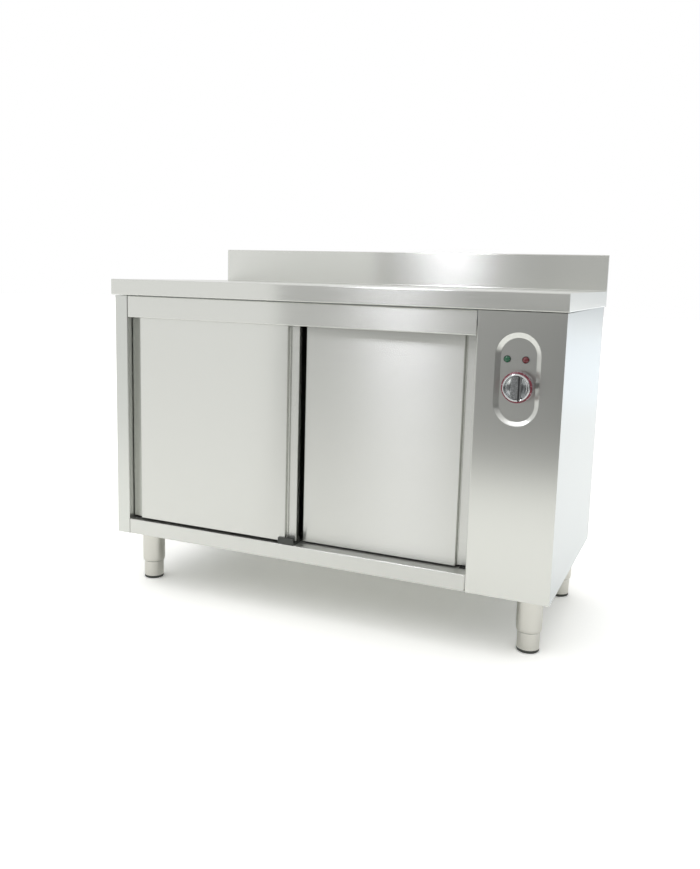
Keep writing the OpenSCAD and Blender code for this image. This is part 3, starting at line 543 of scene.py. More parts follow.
# Stamped aluminium of the fan wheel: light grey with rolling marks.
FAN_ALUMINIUM = Mottled(
    "stamped_aluminium", "fan_aluminium", "#B4B8BA", roughness=0.35, metallic=1.0,
    other_colour="#A3A8AA", patch=4 * MM,
)
# Heater tube: steel browned by heat.
HEATER_SCALE = Mottled(
    "heat_scaled_steel", "heater_steel", "#5D5A55", roughness=0.6, metallic=0.8,
    other_colour="#4A4038", patch=7 * MM,
)


# ---- Shaping -------------------------------------------------------------------------------

MERGE = 0.002 * MM
FLAT = math.radians(0.5)
FULL_TURN = 2 * math.pi
SHARP = 40.0  # degrees
SAME_HEIGHT = 0.1 * MM


def arc(
    centre: tuple[float, float], radius: float, start: float, end: float, steps: int = 8
) -> list[tuple[float, float]]:
    """Points on an arc.

    Args:
        centre: The arc's centre.
        radius: Its radius.
        start: Angle of the first point, in degrees from the first axis.
        end: Angle of the last point.
        steps: Steps between them.

    Returns:
        Pairs of the two axes.
    """
    turns = [math.radians(start + (end - start) * k / steps) for k in range(steps + 1)]
    return [(centre[0] + radius * math.cos(a), centre[1] + radius * math.sin(a)) for a in turns]


class Shape:
    """A mesh in the making, shaped with bmesh operators."""

    def __init__(self) -> None:
        """Starts with an empty mesh."""
        self.bm = bmesh.new()

    @classmethod
    def of_node(cls, node: str) -> "Shape":
        """Copies a CAD node, with its loose triangles merged to whole faces.

        Args:
            node: Name of the node.

        Returns:
            The copy, ready to be shaped.
        """
        shape = cls()
        shape.bm.from_mesh(frame["nodes"][node].data)
        bmesh.ops.remove_doubles(shape.bm, verts=shape.bm.verts, dist=MERGE)
        bmesh.ops.dissolve_limit(
            shape.bm, angle_limit=FLAT, use_dissolve_boundaries=False,
            verts=shape.bm.verts, edges=shape.bm.edges, delimit=set(),
        )
        return shape

    def block(
        self, low: Sequence[float], high: Sequence[float], stand: Optional[Matrix] = None
    ) -> "Shape":
        """Adds a block between two corners.

        Args:
            low: Lowest corner.
            high: Highest corner.
            stand: Where the block's own axes stand, if not in the frame's.

        Returns:
            The shape itself.
        """
        low, high = Vector(low), Vector(high)
        made = bmesh.ops.create_cube(self.bm, size=1.0)["verts"]
        bmesh.ops.scale(self.bm, verts=made, vec=high - low)
        bmesh.ops.translate(self.bm, verts=made, vec=(low + high) / 2)
        if stand is not None:
            bmesh.ops.transform(self.bm, verts=made, matrix=stand)
        return self

    def prism(
        self, outline: Sequence[tuple[float, float]], low: float, high: float, axis: Axis
    ) -> "Shape":
        """Adds a prism.

        Args:
            outline: Its section, as pairs of the two other axes in the order X, Y, Z.
            low: Where it begins on the axis.
            high: Where it ends.
            axis: Direction of the prism.

        Returns:
            The shape itself.
        """
        spread = [k for k in range(3) if k != axis.value]
        foot = []
        for pair in outline:
            point = Vector((low, low, low))
            for k, value in zip(spread, pair):
                point[k] = value
            foot.append(self.bm.verts.new(point))
        face = self.bm.faces.new(foot)
        made = bmesh.ops.extrude_face_region(self.bm, geom=[face])["geom"]
        top = [g for g in made if isinstance(g, bmesh.types.BMVert)]
        bmesh.ops.translate(self.bm, verts=top, vec=axis.unit() * (high - low))
        faces = dict.fromkeys(f for v in foot + top for f in v.link_faces)
        bmesh.ops.recalc_face_normals(self.bm, faces=list(faces))
        return self

    def turned(
        self,
        profile: Sequence[tuple[float, float]],
        centre: Sequence[float],
        axis: Axis = Axis.Z,
        steps: int = 96,
    ) -> "Shape":
        """Adds a turned piece.

        Args:
            profile: Points of radius and height, whose last one joins the first.
            centre: Where the axle's foot stands.
            axis: Direction of the axle.
            steps: Steps in the full turn.

        Returns:
            The shape itself.
        """
        points = [self.bm.verts.new((radius, 0.0, height)) for radius, height in profile]
        lines = [self.bm.edges.new(pair) for pair in zip(points, points[1:] + points[:1])]
        before = set(self.bm.verts) - set(points)
        bmesh.ops.spin(
            self.bm, geom=points + lines, cent=(0, 0, 0), axis=(0, 0, 1), dvec=(0, 0, 0),
            angle=FULL_TURN, steps=steps, use_merge=True, use_duplicate=False,
        )
        made = [v for v in self.bm.verts if v not in before]
        bmesh.ops.remove_doubles(self.bm, verts=made, dist=MERGE)
        made = [v for v in self.bm.verts if v not in before]
        faces = dict.fromkeys(f for v in made for f in v.link_faces)
        turn = Vector((0, 0, 1)).rotation_difference(axis.unit()).to_matrix()
        bmesh.ops.rotate(self.bm, verts=made, cent=(0, 0, 0), matrix=turn)
        bmesh.ops.translate(self.bm, verts=made, vec=Vector(centre))
        bmesh.ops.recalc_face_normals(self.bm, faces=list(faces))
        return self

    def corners(
        self,
        least: float,
        most: float = 180.0,
        within: Callable[[Vector], bool] = lambda point: True,
    ) -> list[bmesh.types.BMEdge]:
        """Finds edges by how far the surface turns at them.

        Args:
            least: Smallest turn, in degrees.
            most: Largest turn, in degrees.
            within: Whether a point lies where edges are looked for.

        Returns:
            The edges.
        """
        return [
            e for e in self.bm.edges
            if e.is_manifold and least < math.degrees(e.calc_face_angle(0.0)) <= most
            and all(within(v.co) for v in e.verts)
        ]

    def soften(
        self,
        width: float,
        edges: Optional[list[bmesh.types.BMEdge]] = None,
        segments: int = 2,
    ) -> "Shape":
        """Rounds edges.

        Args:
            width: Width of the rounding.
            edges: The edges, or None for all sharp ones.
            segments: Steps of the rounding.

        Returns:
            The shape itself.
        """
        bmesh.ops.bevel(
            self.bm, geom=self.corners(SHARP) if edges is None else edges, offset=width,
            offset_type="OFFSET", segments=segments, profile=0.5, affect="EDGES",
            material=-1, clamp_overlap=True,
        )
        return self

    def moved(self, change: Callable[[Vector], Vector]) -> "Shape":
        """Moves every point by a rule and returns the shape."""
        for v in self.bm.verts:
            v.co = change(v.co)
        return self

    def piece(
        self,
        name: str,
        finish: Finish,
        node: str,
        grain: Axis = Axis.Z,
        smooth: float = 35.0,
        stands_for: bool = True,
    ) -> bpy.types.Object:
        """Makes the object, dresses it and hands it to the frame.

        Args:
            name: Name of the piece.
            finish: Its finish.
            node: The CAD node whose body it rides on.
            grain: Direction of its grain.
            smooth: Edges sharper than this many degrees stay sharp.
            stands_for: Whether the piece takes the node's place.

        Returns:
            The new object.
        """
        mesh = bpy.data.meshes.new(name)
        self.bm.to_mesh(mesh)
        self.bm.free()
        mesh.materials.clear()
        mesh.materials.append(finish.material())
        mesh.shade_smooth()
        mesh.set_sharp_from_angle(angle=math.radians(smooth))
        for attribute in [a.name for a in mesh.uv_layers]:
            mesh.uv_layers.remove(mesh.uv_layers[attribute])
        lay_grain(mesh, grain)
        made = bpy.data.objects.new(name, mesh)
        bpy.context.scene.collection.objects.link(made)
        even = made.modifiers.new("even_faces", "WEIGHTED_NORMAL")
        even.keep_sharp = True
        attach(made, BODY_OF[node])
        if stands_for:
            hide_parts(node)
        log.info("%s: %d faces, %s", name, len(mesh.polygons), finish.name)
        return made


def lay_grain(mesh: bpy.types.Mesh, grain: Axis) -> None:
    """Maps every face in metres, with V along the grain and U across it.

    Args:
        mesh: The mesh to map.
        grain: Direction of its grain.
    """
    layer = mesh.uv_layers.new(name=GRAIN_MAP)
    for face in mesh.polygons:
        facing = max(range(3), key=lambda k: abs(face.normal[k]))
        along = grain.after().value if facing == grain.value else grain.value
        across = 3 - facing - along
        for loop in face.loop_indices:
            point = mesh.vertices[mesh.loops[loop].vertex_index].co
            layer.data[loop].uv = (point[across], point[along])


# ---- Sub-assemblies ------------------------------------------------------------------------


def scale_turns(ticks: int, sweep: float) -> list[float]:
    """Angles of the marks of a scale, in degrees from upright.

    Args:
        ticks: How many marks there are.
        sweep: Angle from the first to the last.

    Returns:
        The angles, clockwise.
    """
    return [sweep * (k / (ticks - 1) - 0.5) for k in range(ticks)]


def toward_front(profile: Sequence[tuple[float, float]]) -> list[tuple[float, float]]:
    """Turns heights over a panel to steps along Y, which points to the back."""
    return [(radius, -height) for radius, height in profile]


def round_axle(centre: Sequence[float], angle: float) -> Matrix:
    """Where something stands that is turned round a knob's axle.

    Args:
        centre: A point on the axle, which lies along Y.
        angle: Turn from upright, clockwise as seen from the front, in degrees.

    Returns:
        The matrix, with Z pointing away from the axle.
    """
    return Matrix.Translation(Vector(centre)) @ Matrix.Rotation(math.radians(angle), 4, "Y")


@dataclass(frozen=True)
class SheetPart:
    """A CAD node that is kept in shape, with its edges broken and its finish on."""

    node: str
    finish: Finish
    grain: Axis = Axis.Z
    edge: float = 0.3 * MM

    def build(self) -> None:
        """Builds the piece."""
        shape = Shape.of_node(self.node)
        if self.edge:
            shape.soften(self.edge)
        shape.piece(f"{self.node}_finished", self.finish, self.node, self.grain)


@dataclass(frozen=True)
class WoolSlab:
    """A slab of mineral wool: uneven, with rounded and slightly crushed edges."""

    node: str
    tuft: float = 45 * MM
    hollow: float = 2.2 * MM
    crush: float = 3 * MM
    bumps_per_tuft: float = 1.7

    def build(self) -> None:
        """Builds the slab."""
        shape = Shape.of_node(self.node)
        shape.soften(self.crush, segments=3)
        for axis in Axis:
            places = [v.co[axis.value] for v in shape.bm.verts]
            low, high = min(places), max(places)
            for k in range(1, int((high - low) / self.tuft)):
                middle = axis.unit() * (low + k * self.tuft)
                bmesh.ops.bisect_plane(
                    shape.bm, geom=[*shape.bm.verts, *shape.bm.edges, *shape.bm.faces],
                    dist=MERGE, plane_co=middle, plane_no=axis.unit(),
                )
        shape.bm.normal_update()
        for v in shape.bm.verts:
            share = 0.5 + 0.5 * noise.noise(v.co / self.tuft * self.bumps_per_tuft)
            v.co = v.co - v.normal * self.hollow * share
        shape.piece(f"{self.node}_slab", WOOL, self.node, smooth=60)


@dataclass
class Worktop:
    """Worktop with its upstand, board and stiffeners."""

    edge: float = 0.4 * MM
    board_edge: float = 0.5 * MM

    def build(self) -> None:
        """Builds the worktop's pieces."""
        for part in (
            SheetPart("worktop", WORKTOP_STEEL, Axis.X, self.edge),
            SheetPart("worktop_board", BOARD, Axis.X, self.board_edge),
            SheetPart("worktop_stiffeners", ZINC, Axis.Y),
        ):
            part.build()


@dataclass
class RearScrews:
    """Screws of the back, each with a dark cross of painted shade for its cross recess, and the
    bonding stud.
    """

    out_x: float = 583.5 * MM
    low: float = 228 * MM
    high: float = 762 * MM
    rows: int = 4
    head_y: float = 292.4 * MM
    arm: float = 2.2 * MM
    arm_half: float = 0.45 * MM
    arm_back: float = 0.6 * MM
    arm_proud: float = 0.03 * MM
    turn_by_side: float = 9.0  # degrees, because no two screws stop alike
    turn_by_row: float = 23.0

    def build(self) -> None:
        """Builds the screws and the dark crosses that paint the shade in their recesses."""
        SheetPart("panel_screws", SCREW_STEEL, Axis.Y).build()
        # Each recess is a thin dark cross set in the head's face: painted shade, not a cut.
        recess = Shape()
        for side in (-1, 1):
            for row in range(self.rows):
                z = self.low + (self.high - self.low) * row / (self.rows - 1)
                turn = self.turn_by_side * side + self.turn_by_row * row
                stand = round_axle((side * self.out_x, self.head_y, z), turn)
                for long, short in ((self.arm, self.arm_half), (self.arm_half, self.arm)):
                    low, high = (-long, -self.arm_back, -short), (long, self.arm_proud, short)
                    recess.block(low, high, stand)
        recess.piece("screw_recess_painted_shade", RECESS_PAINTED_SHADE, "panel_screws", stands_for=False)


@dataclass
class Body:
    """Panels, tray, ceiling and shelf."""

    edge: float = 0.3 * MM
    front: float = -290 * MM
    top: float = 802 * MM
    top_gap: float = 2 * MM
    flange_t: float = 2.8 * MM
    flange_reach: float = 22 * MM
    pan_bend: float = 1.2 * MM
    pan_least_turn: float = 15.0  # degrees
    pan_edge: float = -288 * MM
    pan_middle: tuple[float, float] = (498 * MM, 650.5 * MM)
    pan_trim: tuple[float, float, float] = (1.8 * MM, 1.8 * MM, 1.2 * MM)
    pan_low: tuple[float, float] = (441 * MM, 541 * MM)
    pan_high: tuple[float, float] = (550 * MM, 760 * MM)
    pan_back: float = -283.5 * MM

    def lowered(self, point: Vector) -> Vector:
        """Lowers the front's upper edge, for the shadow gap under the worktop."""
        if point.z > self.top - self.flange_t and point.y < self.front + self.flange_reach:
            return Vector((point.x, point.y, point.z - self.top_gap))
        return point

    def trimmed(self, point: Vector) -> Vector:
        """Trims the pan: its outer line at the right and below, and all of its top.

        Args:
            point: A point of a panel.

        Returns:
            Its new place.
        """
        if not self.in_pan(point):
            return point
        right, below, top = self.pan_trim
        outer = float(point.y < self.pan_edge)
        half = self.pan_high[0] - self.pan_middle[0]
        across = min(max((point.x - self.pan_middle[0]) / half, 0), 1)
        rise = -top if point.z > self.pan_middle[1] else below * outer
        return Vector((point.x - right * across * outer, point.y, point.z + rise))

    def in_pan(self, point: Vector) -> bool:
        """Tells whether a point belongs to the column's pressed pan.

        Args:
            point: A point of a panel.

        Returns:
            True in the pan and in the bend round it.
        """
        return (
            self.pan_low[0] < point.x < self.pan_high[0]
            and self.pan_low[1] < point.z < self.pan_high[1]
            and point.y < self.pan_back
        )

    def build_front(self, node: str, finish: Finish, grain: Axis) -> None:
        """Builds a panel with a folded front, with a shadow gap over its upper edge.

        Args:
            node: The CAD node.
            finish: Its finish.
            grain: Direction of its grain.
        """
        shape = Shape.of_node(node).moved(self.trimmed)
        bends = shape.corners(self.pan_least_turn, SHARP, self.in_pan)
        shape.soften(self.pan_bend, bends, segments=3)
        shape.moved(self.lowered).soften(self.edge)
        shape.piece(f"{node}_finished", finish, node, grain)

    def build(self) -> None:
        """Builds the body's pieces."""
        self.build_front("left_side_panel", PANEL_STEEL, Axis.Z)
        # The right side's cooler colour is painted reflection.
        self.build_front("right_side_panel", SIDE_STEEL_PAINTED_COOL, Axis.Z)
        self.build_front("control_column_front", COLUMN_STEEL, Axis.Z)
        self.build_front("top_fascia", RAIL_STEEL, Axis.X)
        for node, finish, grain in (
            ("left_inner_panel", PANEL_STEEL, Axis.Z),
            ("partition_panel", PANEL_STEEL, Axis.Z),
            ("rear_panel", PANEL_STEEL, Axis.Z),
            ("base_tray", TRAY_STEEL, Axis.X),
            ("leg_channels", ZINC, Axis.Y),
            ("ceiling_panel", PANEL_STEEL, Axis.X),
            ("middle_shelf", PANEL_STEEL, Axis.X),
            ("shelf_supports", PANEL_STEEL, Axis.Y),
        ):
            SheetPart(node, finish, grain, self.edge).build()
        WoolSlab("insulation").build()


class Side(Enum):
    """The two doors."""

    LEFT = "left_door"
    RIGHT = "right_door"


@dataclass(frozen=True)
class Grip:
    """A sunken grip: a trough whose floor climbs gently towards one wall."""

    start: float
    end: float
    floor: float
    rise: float = 5 * MM
    sheet: float = 1 * MM
    cuts: int = 6

    def press(self, shape: Shape) -> None:
        """Presses the trough into a door skin.

        Args:
            shape: The skin's shape.
        """
        low, high = min(self.start, self.end), max(self.start, self.end)
        for k in range(self.cuts + 1):
            x = low + (high - low) * k / self.cuts
            bmesh.ops.bisect_plane(
                shape.bm, geom=[*shape.bm.verts, *shape.bm.edges, *shape.bm.faces],
                dist=MERGE, plane_co=(x, 0, 0), plane_no=(1, 0, 0),
            )

        def pressed(point: Vector) -> Vector:
            """Raises the floor's two faces.

            Args:
                point: A point of the skin.

            Returns:
                Its new place.
            """
            in_grip = low - MERGE <= point.x <= high + MERGE
            in_floor = abs(point.y - self.floor - self.sheet / 2) < self.sheet * 0.6
            if not (in_grip and in_floor):
                return point
            share = (point.x - self.start) / (self.end - self.start)
            return Vector((point.x, point.y - self.rise * (1 - share) ** 2, point.z))

        shape.moved(pressed)


@dataclass
class Door:
    """A sliding door with its liner, core, hangers and rollers."""

    side: Side
    grips: tuple[Grip, ...] = ()
    drop: float = 0.0
    low: float = 195.5 * MM
    low_band: float = 1.5 * MM
    edge: float = 0.25 * MM

    def lengthened(self, point: Vector) -> Vector:
        """Lowers the skins' lower edge by the door's drop."""
        if point.z < self.low + self.low_band:
            return Vector((point.x, point.y, point.z - self.drop))
        return point

    def build_sheet(self, node: str, grips: Sequence[Grip] = ()) -> None:
        """Builds one of the door's two sheets.

        Args:
            node: The CAD node.
            grips: The grips that are pressed into it.
        """
        sheet = Shape.of_node(node).moved(self.lengthened)
        for grip in grips:
            grip.press(sheet)
        sheet.soften(self.edge).piece(f"{node}_finished", DOOR_STEEL, node, Axis.X)

    def build(self) -> None:
        """Builds the door's pieces."""
        name = self.side.value
        self.build_sheet(f"{name}_skin", self.grips)
        WoolSlab(f"{name}_core", hollow=1.2 * MM, crush=1.5 * MM).build()
        self.build_sheet(f"{name}_liner")
        for node, finish in (
            (f"{name}_hangers", ZINC),
            (f"{name}_roller_inner", WHITE_NYLON),
            (f"{name}_roller_outer", WHITE_NYLON),
        ):
            SheetPart(node, finish, Axis.X, self.edge).build()


@dataclass
class DoorGear:
    """Track, guide block and bumpers."""

    stop_front: float = -250 * MM
    lane_floor: float = 193.5 * MM
    floor_drop: float = 3 * MM
    edge: float = 0.8 * MM
    track_edge: float = 0.2 * MM

    def lowered(self, point: Vector) -> Vector:
        """Lowers what lies under the doors, so that the right door clears it."""
        if abs(point.z - self.lane_floor) < SAME_HEIGHT:
            return Vector((point.x, point.y, point.z - self.floor_drop))
        return point

    def set_back(self, point: Vector) -> Vector:
        """Sets the right bumper's front back to the rear door's lane."""
        y = max(point.y, self.stop_front) if point.x > 0 else point.y
        return Vector((point.x, y, point.z))

    def build(self) -> None:
        """Builds what the doors run in."""
        stops = Shape.of_node("door_stops").moved(self.set_back)
        guide = Shape.of_node("door_guide_block")
        for shape, node, finish, grain in (
            (stops, "door_stops", BLACK_RUBBER_AND_SEAM_SHADE, Axis.Y),
            (guide, "door_guide_block", BLACK_NYLON, Axis.X),
        ):
            shape.moved(self.lowered).soften(self.edge).piece(
                f"{node}_finished", finish, node, grain
            )
        SheetPart("door_track", ZINC, Axis.X, self.track_edge).build()


@dataclass
class Leg:
    """One leg: upper tube with a rolled lip, a black ring of painted shade at the seam, foot
    and glide.
    """

    corner: str
    x: float
    y: float
    lip_z: float = 50 * MM
    glide_shoulder: float = 11 * MM
    glide_shown: float = 7.5 * MM
    foot_radius: float = 27 * MM
    ring_gap: float = 0.1 * MM
    ring_reach: float = 1 * MM
    ring_height: float = 1.6 * MM
    ring_in_tube: float = 0.6  # share of its height
    tube_edge: float = 0.2 * MM
    foot_edge: float = 0.25 * MM

    def lowered(self, point: Vector) -> Vector:
        """Lowers the joint between foot and glide to where it shows."""
        if abs(point.z - self.glide_shoulder) < SAME_HEIGHT:
            return Vector((point.x, point.y, self.glide_shown))
        return point

    def build(self) -> None:
        """Builds the leg's pieces."""
        tube, foot, glide = (
            f"{part}_{self.corner}" for part in ("leg_tube", "foot_tube", "foot_glide")
        )
        SheetPart(tube, TUBE_STEEL, Axis.Z, self.tube_edge).build()
        for node, finish in ((foot, TUBE_STEEL), (glide, BLACK_NYLON)):
            Shape.of_node(node).moved(self.lowered).soften(self.foot_edge).piece(
                f"{node}_finished", finish, node
            )
        # A thin black ring in the seam between tube and foot: painted shade of the gap there.
        inner, outer = self.foot_radius + self.ring_gap, self.foot_radius + self.ring_reach
        low = self.lip_z - self.ring_in_tube * self.ring_height
        high = low + self.ring_height
        Shape().turned([
            (inner, low), (outer - 0.5 * MM, low), (outer, low + 0.5 * MM),
            (outer, self.lip_z), (outer - 0.4 * MM, high), (inner, high),
        ], (self.x, self.y, 0.0), steps=128).piece(
            f"seam_shade_ring_{self.corner}", BLACK_RUBBER_AND_SEAM_SHADE, tube, stands_for=False
        )


@dataclass
class Knob:
    """Chromed knob: a dished cup with a rolled rim, a grip bar, a pointer and a red skirt."""

    centre: tuple[float, float, float] = (498 * MM, -286.3 * MM, 635.5 * MM)
    radius: float = 30.5 * MM
    height: float = 23.7 * MM
    roll: float = 2 * MM
    foot_chamfer: float = 1.2 * MM
    dish: float = 10.5 * MM
    dish_flat: float = 12 * MM
    dish_crown: float = 0.6 * MM
    dish_fillet: float = 8 * MM
    bar_half: float = 12 * MM
    bar_top: float = 23.1 * MM
    # The bar's rounded edge, as steps in from its flank and down from its face.
    bar_edge: tuple[tuple[float, float], ...] = (
        (1.0 * MM, 0.1 * MM), (0.3 * MM, 0.45 * MM), (0.0, 1.2 * MM),
    )
    flank_hollow: float = 7.5 * MM
    flank_drop: float = 4 * MM
    flank_foot: tuple[float, float] = (9 * MM, 1 * MM)
    line_x: float = 6 * MM
    line_width: float = 3.8 * MM
    line_top: float = 24.5 * MM
    line_proud: float = 0.2 * MM
    line_depth: float = 0.8 * MM
    line_edge: float = 0.15 * MM
    rim_notch: float = 0.9 * MM
    notch_margin: float = 0.3 * MM
    skirt_radius: float = 34.5 * MM
    skirt_front: float = 19.5 * MM
    skirt_depth: float = 6 * MM
    skirt_fall: float = 1.6 * MM
    skirt_roll: float = 1 * MM
    ticks: int = 11
    tick_sweep: float = 270.0
    tick_half: float = 0.35 * MM
    tick_reach: float = 1.2 * MM

    def build_cup(self) -> None:
        """Builds the cup, with a notch in its rim for the pointer line."""
        rim = self.height - self.roll
        lip = self.radius - self.roll
        inner = self.radius - 2 * self.roll
        fillet = self.dish_fillet
        profile = [
            (0.0, 0.0), (self.radius - self.foot_chamfer, 0.0),
            (self.radius, self.foot_chamfer), (self.radius, rim),
            *arc((lip, rim), self.roll, 15, 180, 11),
            *arc((inner - fillet, rim - 1 * MM), fillet, 0, -60, 8),
            (self.dish_flat, self.dish + self.dish_crown), (0.0, self.dish),
        ]
        shape = Shape().turned(toward_front(profile), self.centre, Axis.Y, 180)
        notch = self.centre[1] - self.height + self.rim_notch
        half = self.line_width / 2 + self.notch_margin

        def cut(point: Vector) -> Vector:
            """Lowers the rim where the pointer line crosses it.

            Args:
                point: A point of the cup.

            Returns:
                Its new place.
            """
            beside = abs(point.x - self.centre[0] - self.line_x) > half
            if beside or point.z > self.centre[2] - inner * 0.8:
                return point
            return Vector((point.x, max(point.y, notch), point.z))

        shape.moved(cut).piece("knob_cup", CHROME, "knob", smooth=50)

    def build_bar(self) -> None:
        """Builds the grip bar with its hollow flanks and crowned face."""
        side, face, hollow = self.bar_half, self.bar_top, self.flank_hollow
        out, down = self.flank_foot
        flank = [
            *((side - step, face - drop) for step, drop in self.bar_edge),
            *arc((side + hollow, face - self.flank_drop), hollow, 180, 250, 7),
            (side + out, self.dish - down),
        ]
        half = flank[::-1] + [(side / 2, face)]
        section = half + [(-x, height) for x, height in reversed(half)]
        reach = self.radius - 2.5 * self.roll
        # The bar's darker chrome is painted dark reflection.
        Shape().prism(
            [(self.centre[0] + x, self.centre[1] - height) for x, height in section],
            self.centre[2] - reach, self.centre[2] + reach, Axis.Z,
        ).piece("knob_grip_bar", BAR_CHROME_PAINTED_DARK, "knob", stands_for=False)

    def build_pointer(self) -> None:
        """Fills the pointer line with black."""
        x, y, z = self.centre
        half = self.line_width / 2
        front, foot = y - self.bar_top - self.line_proud, z - self.radius + self.rim_notch
        Shape().block(
            (x + self.line_x - half, front, foot),
            (x + self.line_x + half, y - self.bar_top + self.line_depth, z + self.line_top),
        ).soften(self.line_edge).piece("knob_pointer_line", BLACK_INK, "knob", stands_for=False)

    def build_skirt(self) -> None:
        """Builds the red skirt with its pale marks."""
        front, outer, roll = self.skirt_front, self.skirt_radius, self.skirt_roll
        inner = self.radius - 1 * MM
        slope = math.atan2(self.skirt_fall, outer - self.radius - 0.6 * MM)
        profile = [
            (inner, front - self.skirt_depth), (outer - 1.5 * roll, front - self.skirt_depth),
            *arc((outer - roll, front - self.skirt_fall - roll), roll, -60, 60, 6),
            (self.radius, front), (inner, front),
        ]
        Shape().turned(toward_front(profile), self.centre, Axis.Y, 180).piece(
            "knob_red_skirt", RED_LACQUER, "knob", stands_for=False
        )
        on_slope = Matrix.Translation(
            (0.0, -front + 0.9 * MM, (self.radius + outer) / 2 + 0.1 * MM)
        ) @ Matrix.Rotation(-slope, 4, "X")
        marks = Shape()
        for turn in scale_turns(self.ticks, self.tick_sweep):
            marks.block(
                (-self.tick_half, -0.25 * MM, -self.tick_reach),
                (self.tick_half, 0.2 * MM, self.tick_reach),
                round_axle(self.centre, turn) @ on_slope,
            )
        marks.piece("knob_skirt_marks", PALE_INK, "knob", stands_for=False)

    def build(self) -> None:
        """Builds the knob's pieces."""
        self.build_cup()
        self.build_bar()
        self.build_pointer()
        self.build_skirt()


@dataclass
class ScaleRing:
    """Aluminium ring behind the knob, with chamfered edges and printed scale lines."""

    centre: tuple[float, float, float] = (498 * MM, -285 * MM, 635.5 * MM)
    outer: float = 34.5 * MM
    inner: float = 14 * MM
    thickness: float = 0.8 * MM
    chamfer: float = 0.3 * MM
    ticks: int = 21
    tick_sweep: float = 270.0
    tick_half: float = 0.25 * MM
    tick_margin: float = 0.6 * MM
    tick_lengths: tuple[float, float] = (3 * MM, 1.8 * MM)
    ink_proud: float = 0.04 * MM
    ink_depth: float = 0.2 * MM

    def build(self) -> None:
        """Builds the ring and its lines."""
        outer, inner, chamfer, front = self.outer, self.inner, self.chamfer, -self.thickness
        Shape().turned([
            (inner, 0.0), (outer, 0.0), (outer, front + chamfer), (outer - chamfer, front),
            (inner + chamfer, front), (inner, front + chamfer),
        ], self.centre, Axis.Y, 180).piece("scale_ring", DIAL_ALUMINIUM, "dial_ring")
        lines = Shape()
        rim = outer - self.tick_margin
        for number, turn in enumerate(scale_turns(self.ticks, self.tick_sweep)):
            lines.block(
                (-self.tick_half, front - self.ink_proud, rim - self.tick_lengths[number % 2]),
                (self.tick_half, front + self.ink_depth, rim),
                round_axle(self.centre, turn),
            )
        lines.piece("scale_lines", SCALE_INK, "dial_ring", stands_for=False)


@dataclass
class Lamp:
    """Indicator lamp: domed lens in a black rim that paints the shade at the lens's edge, with
    a threaded stem and a nut.
    """

    node: str
    x: float
    lens: Finish
    floor_y: float = -285 * MM
    z: float = 695.5 * MM
    radius: float = 8 * MM
    shade_rim_width: float = 0.9 * MM
    shade_rim_height: float = 1.9 * MM
    # The black rim's rounded edge, as steps in from its side and down from its front.
    shade_rim_edge: tuple[tuple[float, float], ...] = (
        (0.0, 0.6 * MM), (0.3 * MM, 0.15 * MM), (0.6 * MM, 0.0),
    )
    dome_top: float = 5 * MM
    dome_sunk: float = 0.5 * MM
    lens_front: float = 0.3 * MM
    stem_radius: float = 5.5 * MM
    stem_end: float = 22 * MM
    stem_end_chamfer: float = 0.8 * MM
    pitch: float = 1.5 * MM
    thread_depth: float = 0.5 * MM
    nut_back: float = 6.2 * MM
    nut_front: float = 1.2 * MM
    nut_radius: float = 9 * MM
    nut_edge: float = 0.5 * MM

    def build_lens(self, centre: Sequence[float], lens_radius: float) -> None:
        """Builds the domed lens.

        Args:
            centre: Middle of the lamp, on the pan's floor.
            lens_radius: Radius of the lens.
        """
        rise = self.dome_top - (self.shade_rim_height - self.dome_sunk)
        ball = (lens_radius**2 + rise**2) / (2 * rise)
        tilt = math.degrees(math.asin(lens_radius / ball))
        dome = arc((0.0, self.dome_top - ball), ball, 90 - tilt, 90, 12)
        Shape().turned(
            toward_front([(0.0, self.lens_front), (lens_radius, self.lens_front), *dome]),
            centre, Axis.Y,
        ).piece(f"{self.node}_lens", self.lens, self.node)

    def build_thread(self, centre: Sequence[float]) -> None:
        """Builds the stem, whose thread is drawn as rings.

        Args:
            centre: Middle of the lamp, on the pan's floor.
        """
        crest, root = self.stem_radius, self.stem_radius - self.thread_depth
        turns = int((self.stem_end - 1 * MM) / self.pitch)
        thread = [
            (radius, (k + shift) * self.pitch)
            for k in range(turns)
            for radius, shift in ((crest, 0.0), (crest, 0.3), (root, 0.55), (root, 0.75))
        ]
        end = [(self.stem_radius - self.stem_end_chamfer, self.stem_end), (0.0, self.stem_end)]
        Shape().turned([(0.0, 0.0), *thread, *end], centre, Axis.Y, 48).piece(
            f"{self.node}_stem", LAMP_BODY_AND_SHADE_RIM, self.node, smooth=60, stands_for=False
        )

    def build(self) -> None:
        """Builds the lamp's pieces."""
        centre = (self.x, self.floor_y, self.z)
        lens_radius = self.radius - self.shade_rim_width
        self.build_lens(centre, lens_radius)
        front = self.shade_rim_height
        # A black rim round the lens: painted shade at the lens's edge.
        Shape().turned(toward_front([
            (lens_radius, 0.0), (self.radius, 0.0),
            *((self.radius - step, front - drop) for step, drop in self.shade_rim_edge),
            (lens_radius, front),
        ]), centre, Axis.Y).piece(
            f"{self.node}_shade_rim", LAMP_BODY_AND_SHADE_RIM, self.node, stands_for=False
        )
        self.build_thread(centre)
        hexagon = arc((self.x, self.z), self.nut_radius, 0, 300, 5)
        nut = Shape().prism(
            hexagon, self.floor_y + self.nut_front, self.floor_y + self.nut_back, Axis.Y
        ).soften(self.nut_edge)
        nut.piece(f"{self.node}_nut", LAMP_BODY_AND_SHADE_RIM, self.node, stands_for=False)


